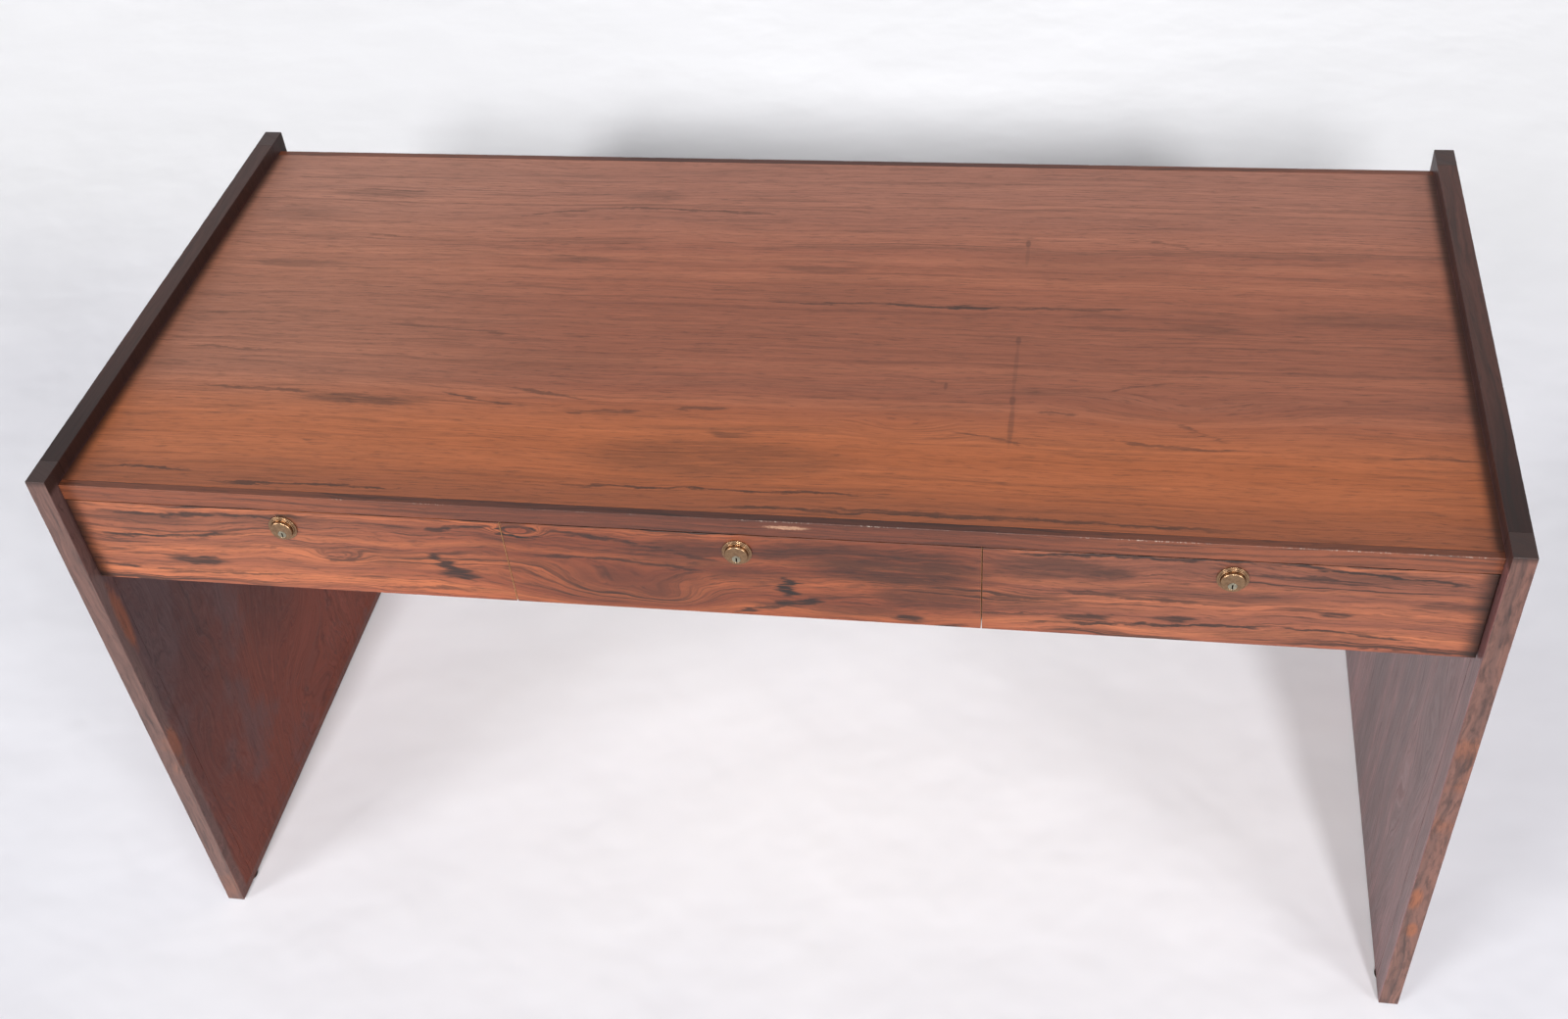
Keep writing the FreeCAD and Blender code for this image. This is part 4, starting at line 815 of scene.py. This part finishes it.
# Black plastic: dull, and greyer where dust has settled
DUST_PER_METRE = 220  # patches of about 5 mm
black_plastic, tree = new_material("moulded_black_plastic")
place = add(tree, "TexCoord", out=3)
dust = add(tree, "TexNoise", place, None, DUST_PER_METRE, 4.0, 0.65)
colour = add(tree, "Mix", named={0: dust, 6: linear("#17130F"), 7: linear("#3A322C")}, **TINT)
rough = add(tree, "MapRange", dust, 0.3, 0.7, 0.45, 0.65)
bump = add(tree, "Bump", named={"Strength": 0.3, "Distance": 0.05 * MM, "Height": dust})
surface = add(tree, "BsdfPrincipled", named={"Base Color": colour, "Roughness": rough, "Normal": bump})
add(tree, "OutputMaterial", surface, out=None)
print(len(bpy.data.materials), "materials")

# %% [markdown]
# ## Finish on the solids
# Boards whose shape is already right keep their solids and only take a finish. The grain of each board
# decides which material it gets: along the width, front to back, or upright.

# %% Materials on the boards
FINISHES = [(top_veneer, "top_panel"), (left_veneer, "left_side_panel"), (right_veneer, "right_side_panel"),
            (rail_veneer, "back_rail"), (beech_deep, "left_divider"), (beech_deep, "right_divider")]
for name in LOCK_NAMES:
    for side in SIDES:
        FINISHES += [(beech_deep, f"{name}_drawer_{side}_{part}") for part in ("runner", "side")]
    FINISHES += [(beech_wide, f"{name}_drawer_back"), (plywood, f"{name}_drawer_bottom"),
                 (steel, f"{name}_lock_case"), (steel, f"{name}_lock_bolt"),
                 (plate_brass, f"{name}_strike_plate")]
for material, node in FINISHES:
    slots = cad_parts[node].data.materials
    slots.clear()
    slots.append(material)
print(len(FINISHES), "solids finished where they are")

# %% [markdown]
# ## Worn boards
# Hands, chairs and cloths have rounded every outer edge, more in some places than in others. A lipping or
# a drawer front is swept as a rounded section along its length, and at each station noise takes a little
# more off some of the corners: that gives the uneven glint of an old arris. Nothing is added, so no board
# grows.

# %% Section of a worn board
def make_piece(name, mesh, body, nodes):
    """Puts a finished mesh into the frame in place of its solids."""
    piece = bpy.data.objects.new(name, mesh)
    scene.collection.objects.link(piece)
    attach(piece, body)
    if nodes:
        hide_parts(*nodes)
    return piece


ARRIS_STEPS = 3
SMALLEST_ARRIS = 0.02 * MM


def section(half_wide, half_high, radius, inset, worn):
    """A rounded rectangle, drawn in by inset, with each corner's own wear."""
    points = []
    for corner, (side, rise) in enumerate(((1, 1), (-1, 1), (-1, -1), (1, -1))):
        reach = max(radius - inset, SMALLEST_ARRIS) + worn[corner]
        middle = (side * (half_wide - inset - reach), rise * (half_high - inset - reach))
        for step in range(ARRIS_STEPS + 1):
            angle = math.radians(90 * corner + 90 * step / ARRIS_STEPS)
            points.append((middle[0] + reach * math.cos(angle), middle[1] + reach * math.sin(angle)))
    return points


print("points in a section:", len(section(10 * MM, 5 * MM, MM, 0, (0, 0, 0, 0))))

# %% [markdown]
# The sweep has a station every 4 mm, closer together at the rounded ends. A drawer front shows other wood
# at its ends, and a lipping of a side panel has the panel's veneer on its left and right faces.

# %% Sweep of a worn board
STATION = 4 * MM
# Waves of wear: how many to a metre, how far apart the corners' noise lies, and their share
WEAR_WAVES = ((55, 9.1, 1.0), (190, 5.7, 0.6))


def stations(half_length, end):
    """Places along a board and how far the section is drawn in there: its ends are rounded by end."""
    turns = [math.pi / 2 * step / ARRIS_STEPS for step in range(ARRIS_STEPS + 1)]
    near_end = [(-half_length + end * (1 - math.cos(a)), end * (1 - math.sin(a))) for a in turns]
    reach = half_length - end
    count = max(2, round(2 * reach / STATION))
    run = [(-reach + 2 * reach * number / count, 0.0) for number in range(1, count)]
    return near_end + run + [(-place, inset) for place, inset in reversed(near_end)]


def wear_at(place, corner, seed):
    """Noise that says how much of a corner has worn away at a place along the board."""
    return max(0.0, sum(share * noise.noise(Vector((place * waves, apart * corner, seed)))
                        for waves, apart, share in WEAR_WAVES))


def worn_board(node, body, materials, length_axis, arris, wear, seed, end):
    """Replaces a board's solid with a sweep.

    A second material covers the ends of a board from side to side, or else its left and right faces."""
    low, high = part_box(node)
    middle, half = (low + high) / 2, (high - low) / 2
    wide_axis, high_axis = (length_axis + 1) % 3, (length_axis + 2) % 3
    vertices, faces = [], []
    for place, inset in stations(half[length_axis], end):
        worn = [wear * wear_at(place, corner, seed) for corner in range(4)]
        for across, upward in section(half[wide_axis], half[high_axis], arris, inset, worn):
            point = middle.copy()
            point[length_axis] += place
            point[wide_axis] += across
            point[high_axis] += upward
            vertices.append(point)
    ring = 4 * (ARRIS_STEPS + 1)
    for start in range(0, len(vertices) - ring, ring):
        for number in range(ring):
            after = (number + 1) % ring
            faces.append((start + number, start + after, start + ring + after, start + ring + number))
    sides = len(faces)
    faces.append(tuple(range(ring - 1, -1, -1)))
    faces.append(tuple(range(len(vertices) - ring, len(vertices))))
    mesh = bpy.data.meshes.new(node + "_worn")
    mesh.from_pydata(vertices, [], faces)
    for material in materials:
        mesh.materials.append(material)
    if len(materials) > 1:
        for number, face in enumerate(mesh.polygons):
            at_end = number < ring or number >= sides - ring
            covered = at_end if length_axis == 0 else abs(face.normal.x) > 0.7
            face.material_index = int(covered)
    return make_piece(node + "_worn", mesh, body, [node])


print(len(stations(0.75, MM)), "stations on a board of 1.5 m")

# %% [markdown]
# The lippings of the top and the uprights are rounded at their ends too. A head or a foot fits between two
# uprights, so its own ends stay sharp.

# %% Worn lippings and drawer fronts
# Each board in millimetres: radius of its arris, how much more wear can take, rounding of its ends
UPRIGHT, HEAD, FOOT = (0.8, 0.9, 0.8), (0.8, 0.9, 0.1), (0.6, 0.9, 0.1)
TOP_FRONT, TOP_BACK, DRAWER = (0.7, 1.1, 0.7), (0.7, 0.6, 0.7), (0.6, 0.4, 0.6)
# The boards around a side panel: place, wood, axis of the length, sizes, seed
AROUND = (("front", stile_wood, 2, UPRIGHT, 5), ("back", stile_wood, 2, UPRIGHT, 5),
          ("top", head_wood, 1, HEAD, 7), ("bottom", foot_wood, 1, FOOT, 9))
# What is to be made: solid, body, slot, materials, axis of its length, sizes, seed
BOARDS = [("top_front_lipping", "carcass", "solid_rosewood", [edge_wood], 0, TOP_FRONT, 3.0),
          ("top_back_lipping", "carcass", "solid_rosewood", [edge_wood], 0, TOP_BACK, 4.0)]
for number, (side, face) in enumerate(zip(SIDES, (left_veneer, right_veneer))):
    for place, wood, axis, sizes, seed in AROUND:
        BOARDS.append((f"{side}_{place}_lipping", "carcass", "solid_rosewood", [wood, face], axis, sizes,
                       seed + number))
for number, name in enumerate(LOCK_NAMES):
    BOARDS.append((f"{name}_drawer_front", f"{name}_drawer", "rosewood_veneer",
                   [front_veneer, beech_wide], 0, DRAWER, 11 + number))
face_count = 0
for node, body, slot, materials, axis, (arris, wear, end), seed in BOARDS:
    piece = worn_board(node, body, materials, axis, arris * MM, wear * MM, seed, end * MM)
    face_count += len(piece.data.polygons)
print(len(BOARDS), "worn boards,", face_count, "faces")

# %% [markdown]
# ## Locks
# Each lock has a stepped rosette, a round cylinder that stands proud of it, and an off-centre plug with
# the keyway. All are turned metal with small rounded edges, so the solids are copied, their triangles
# joined into clean faces and the edges rounded. The distance from the turning axis goes with each point,
# for the tool marks.

# %% Rounded edges on the lock solids
FLAT_ANGLE, EDGE_ANGLE, SMOOTH_ANGLE = math.radians(1), math.radians(30), math.radians(35)


def rounded_copy(node, body, material, edge, centre):
    """A copy of a solid with joined faces and rounded edges. Centre is the turning axis in x and z."""
    shape = bmesh.new()
    shape.from_mesh(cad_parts[node].data)
    bmesh.ops.remove_doubles(shape, verts=shape.verts, dist=0.001 * MM)
    bmesh.ops.dissolve_limit(shape, angle_limit=FLAT_ANGLE, verts=shape.verts, edges=shape.edges)
    sharp = [e for e in shape.edges if e.is_manifold and e.calc_face_angle() > EDGE_ANGLE]
    bmesh.ops.bevel(shape, geom=sharp, offset=edge, segments=3, profile=0.5, affect="EDGES",
                    clamp_overlap=True)
    mesh = bpy.data.meshes.new(node + "_rounded")
    shape.to_mesh(mesh)
    shape.free()
    mesh.shade_smooth()
    mesh.set_sharp_from_angle(angle=SMOOTH_ANGLE)
    mesh.materials.append(material)
    away = mesh.attributes.new("from_axis", "FLOAT", "POINT")
    distances = [math.hypot(v.co.x - centre[0], v.co.z - centre[1]) for v in mesh.vertices]
    away.data.foreach_set("value", distances)
    return make_piece(node + "_rounded", mesh, body, [node])


def middle_of(node):
    """The middle of a solid's box."""
    low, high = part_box(node)
    return (low + high) / 2


PLUG_AXIS, BARREL_AXIS = 682.65 * MM, 687 * MM
for name in LOCK_NAMES:
    x = middle_of(f"{name}_lock_barrel").x
    for part, edge in (("rosette", 0.45), ("barrel", 0.25)):
        rounded_copy(f"{name}_lock_{part}", f"{name}_drawer", brass, edge * MM,
                     (x, BARREL_AXIS))
    rounded_copy(f"{name}_lock_plug", f"{name}_lock_plug", plug_metal, 0.10 * MM,
                 (x, PLUG_AXIS))
print("locks at", [round(middle_of(f"{name}_lock_barrel").x / MM) for name in LOCK_NAMES], "mm")

# %% [markdown]
# ## Glides
# A plastic disc under each end of the panels keeps the wood off the floor. It is turned from its outline:
# a flat foot, a rounded rim and a flat back against the lipping.

# %% Turned glides
def turned(outline, centre, steps, vertices, faces):
    """Adds a shape turned about an upright axis. Its outline runs from the lower to the upper middle."""
    first = len(vertices)
    for radius, height in outline[1:-1]:
        for number in range(steps):
            angle = 2 * math.pi * number / steps
            x, y = centre[0] + radius * math.cos(angle), centre[1] + radius * math.sin(angle)
            vertices.append((x, y, height))
    rings = len(outline) - 2
    for ring in range(rings - 1):
        for number in range(steps):
            after = (number + 1) % steps
            start = first + ring * steps
            faces.append((start + number, start + after, start + steps + after, start + steps + number))
    faces.append(tuple(range(first + steps - 1, first - 1, -1)))
    faces.append(tuple(range(first + (rings - 1) * steps, first + rings * steps)))


low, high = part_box("floor_glides")
RADIUS = 12 * MM
ROUND_STEPS = 48
GLIDE_OUTLINE = [(0, 0), (9.6 * MM, 0), (10.6 * MM, 0.15 * MM), (11.4 * MM, 0.6 * MM),
                 (11.85 * MM, 1.2 * MM), (RADIUS, 1.9 * MM), (RADIUS, high.z), (0, high.z)]
vertices, faces = [], []
for x in (low.x + RADIUS, high.x - RADIUS):
    for y in (low.y + RADIUS, high.y - RADIUS):
        turned(GLIDE_OUTLINE, (x, y), ROUND_STEPS, vertices, faces)
mesh = bpy.data.meshes.new("turned_glides")
mesh.from_pydata(vertices, [], faces)
mesh.materials.append(black_plastic)
mesh.shade_smooth()
ROUND_ANGLE = math.radians(40)
mesh.set_sharp_from_angle(angle=ROUND_ANGLE)
make_piece("turned_glides", mesh, "carcass", ["floor_glides"])
print("glides:", len(faces), "faces")

# %% [markdown]
# ## Screws
# Slotted screws hold the runners, the lock cases, the strike plates and the drawer bottoms. They repeat,
# so one node tree makes a domed head with a slot, turns it by chance as a hand leaves it, and sets it on
# every point of a small mesh that carries the places and the directions.

# %% Node tree for slotted heads
SCREWS = bpy.data.node_groups.new("slotted_screw_heads", "GeometryNodeTree")
for socket, kind in (("Geometry", "Geometry"), ("Head diameter", "Float"), ("Head height", "Float"),
                     ("Slot width", "Float"), ("Seed", "Int"), ("Material", "Material")):
    SCREWS.interface.new_socket(socket, in_out="INPUT", socket_type="NodeSocket" + kind)
SCREWS.interface.new_socket("Geometry", in_out="OUTPUT", socket_type="NodeSocketGeometry")
given = SCREWS.nodes.new("NodeGroupInput").outputs
made = SCREWS.nodes.new("NodeGroupOutput").inputs
radius = add(SCREWS, "Math", given["Head diameter"], 2.0, operation="DIVIDE")
# A slot a little longer than the ball is cut out of a ball of radius 1, which is then squashed to a head
ball = add(SCREWS, "GeometryNodeMeshUVSphere", 24, 12, 1.0)
slot_share = add(SCREWS, "Math", given["Slot width"], radius, operation="DIVIDE")
slot_size = add(SCREWS, "CombineXYZ", 2.2, slot_share, 1.0)
slot_box = add(SCREWS, "GeometryNodeMeshCube", slot_size)
slot_box = add(SCREWS, "GeometryNodeTransform", slot_box, named={"Translation": (0.0, 0.0, 1.0)})
head = add(SCREWS, "GeometryNodeMeshBoolean", named={"Mesh 1": ball, "Mesh 2": slot_box},
           operation="DIFFERENCE", solver="EXACT")
squash = add(SCREWS, "CombineXYZ", radius, radius, given["Head height"])
head = add(SCREWS, "GeometryNodeTransform", head, named={"Scale": squash})
facing = add(SCREWS, "GeometryNodeInputNamedAttribute", "facing", data_type="FLOAT_VECTOR")
upright = add(SCREWS, "FunctionNodeAlignRotationToVector", named={"Vector": facing}, axis="Z")
chance = add(SCREWS, "FunctionNodeRandomValue", named={2: 0.0, 3: math.pi, "Seed": given["Seed"]}, out=1)
spin = add(SCREWS, "FunctionNodeAxisAngleToRotation", (0.0, 0.0, 1.0), chance)
upright = add(SCREWS, "FunctionNodeRotateRotation", upright, spin, rotation_space="LOCAL")
heads = add(SCREWS, "GeometryNodeInstanceOnPoints", given["Geometry"],
            named={"Instance": head, "Rotation": upright})
heads = add(SCREWS, "GeometryNodeRealizeInstances", heads)
heads = add(SCREWS, "GeometryNodeSetMaterial", heads, named={"Material": given["Material"]})
SCREWS.links.new(heads, made["Geometry"])
print(len(SCREWS.nodes), "nodes make a screw head")

# %% [markdown]
# The tree runs as a modifier on the mesh of places. Its result is copied to a plain mesh, one for each
# body and use, and the mesh of places goes away again.

# %% Heads on given places
SLOT_SHARE = 0.16


def set_screws(name, body, material, places, diameter, height, seed):
    """Heads on the given places. Each place is a point and the direction its head faces."""
    mesh = bpy.data.meshes.new(name + "_places")
    mesh.from_pydata([place for place, _ in places], [], [])
    directions = mesh.attributes.new("facing", "FLOAT_VECTOR", "POINT")
    directions.data.foreach_set("vector", [value for _, direction in places for value in direction])
    source = bpy.data.objects.new(name + "_places", mesh)
    scene.collection.objects.link(source)
    modifier = source.modifiers.new("screws", "NODES")
    modifier.node_group = SCREWS
    values = {"Head diameter": diameter, "Head height": height, "Slot width": SLOT_SHARE * diameter,
              "Seed": seed, "Material": material}
    for item in SCREWS.interface.items_tree:
        if item.in_out == "INPUT" and item.name in values:
            modifier[item.identifier] = values[item.name]
    heads = bpy.data.meshes.new_from_object(source.evaluated_get(bpy.context.evaluated_depsgraph_get()))
    heads.name = name
    heads.shade_smooth()
    heads.set_sharp_from_angle(angle=ROUND_ANGLE)
    bpy.data.objects.remove(source)
    make_piece(name, heads, body, [])
    return len(places)


print("a slot takes", SLOT_SHARE, "of a head's diameter")

# %% [markdown]
# Every place is worked out from the solid that the screw holds. The screws of the runners are countersunk
# and hardly stand out, so that the drawers pass over them.

# %% Screws on every body
EAR_THICKNESS, EAR_SCREW, STRIKE_SCREW = 1.2 * MM, 18 * MM, 14.1 * MM
runner_places, strike_places = [], []
count = 0
for number, name in enumerate(LOCK_NAMES):
    x_drawer = middle_of(f"{name}_drawer_front").x
    for side in SIDES:
        low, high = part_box(f"{name}_drawer_{side}_runner")
        inward = 1 if high.x < x_drawer else -1
        face = high.x if inward > 0 else low.x
        for share in (0.08, 0.5, 0.92):
            y = low.y + share * (high.y - low.y)
            runner_places.append(((face, y, (low.z + high.z) / 2), (inward, 0, 0)))
    low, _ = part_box(f"{name}_strike_plate")
    middle = middle_of(f"{name}_strike_plate")
    strike_places += [((middle.x + x, middle.y, low.z), (0, 0, -1)) for x in (-STRIKE_SCREW, STRIKE_SCREW)]
    low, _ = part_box(f"{name}_lock_case")
    middle = middle_of(f"{name}_lock_case")
    ears = [((middle.x + x, low.y + EAR_THICKNESS, middle.z), (0, 1, 0)) for x in (-EAR_SCREW, EAR_SCREW)]
    count += set_screws(f"{name}_lock_case_screws", f"{name}_drawer", steel, ears,
                        diameter=5.6 * MM, height=1.3 * MM, seed=20 + number)
    low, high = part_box(f"{name}_drawer_bottom")
    y = middle_of(f"{name}_drawer_back").y
    row = [((low.x + share * (high.x - low.x), y, low.z), (0, 0, -1)) for share in (0.12, 0.5, 0.88)]
    count += set_screws(f"{name}_bottom_screws", f"{name}_drawer", steel, row,
                        diameter=6.0 * MM, height=1.0 * MM, seed=30 + number)
count += set_screws("runner_screws", "carcass", steel, runner_places,
                    diameter=6.6 * MM, height=0.22 * MM, seed=40)
count += set_screws("strike_screws", "carcass", plate_brass, strike_places,
                    diameter=5.0 * MM, height=0.8 * MM, seed=50)
print(count, "screws")
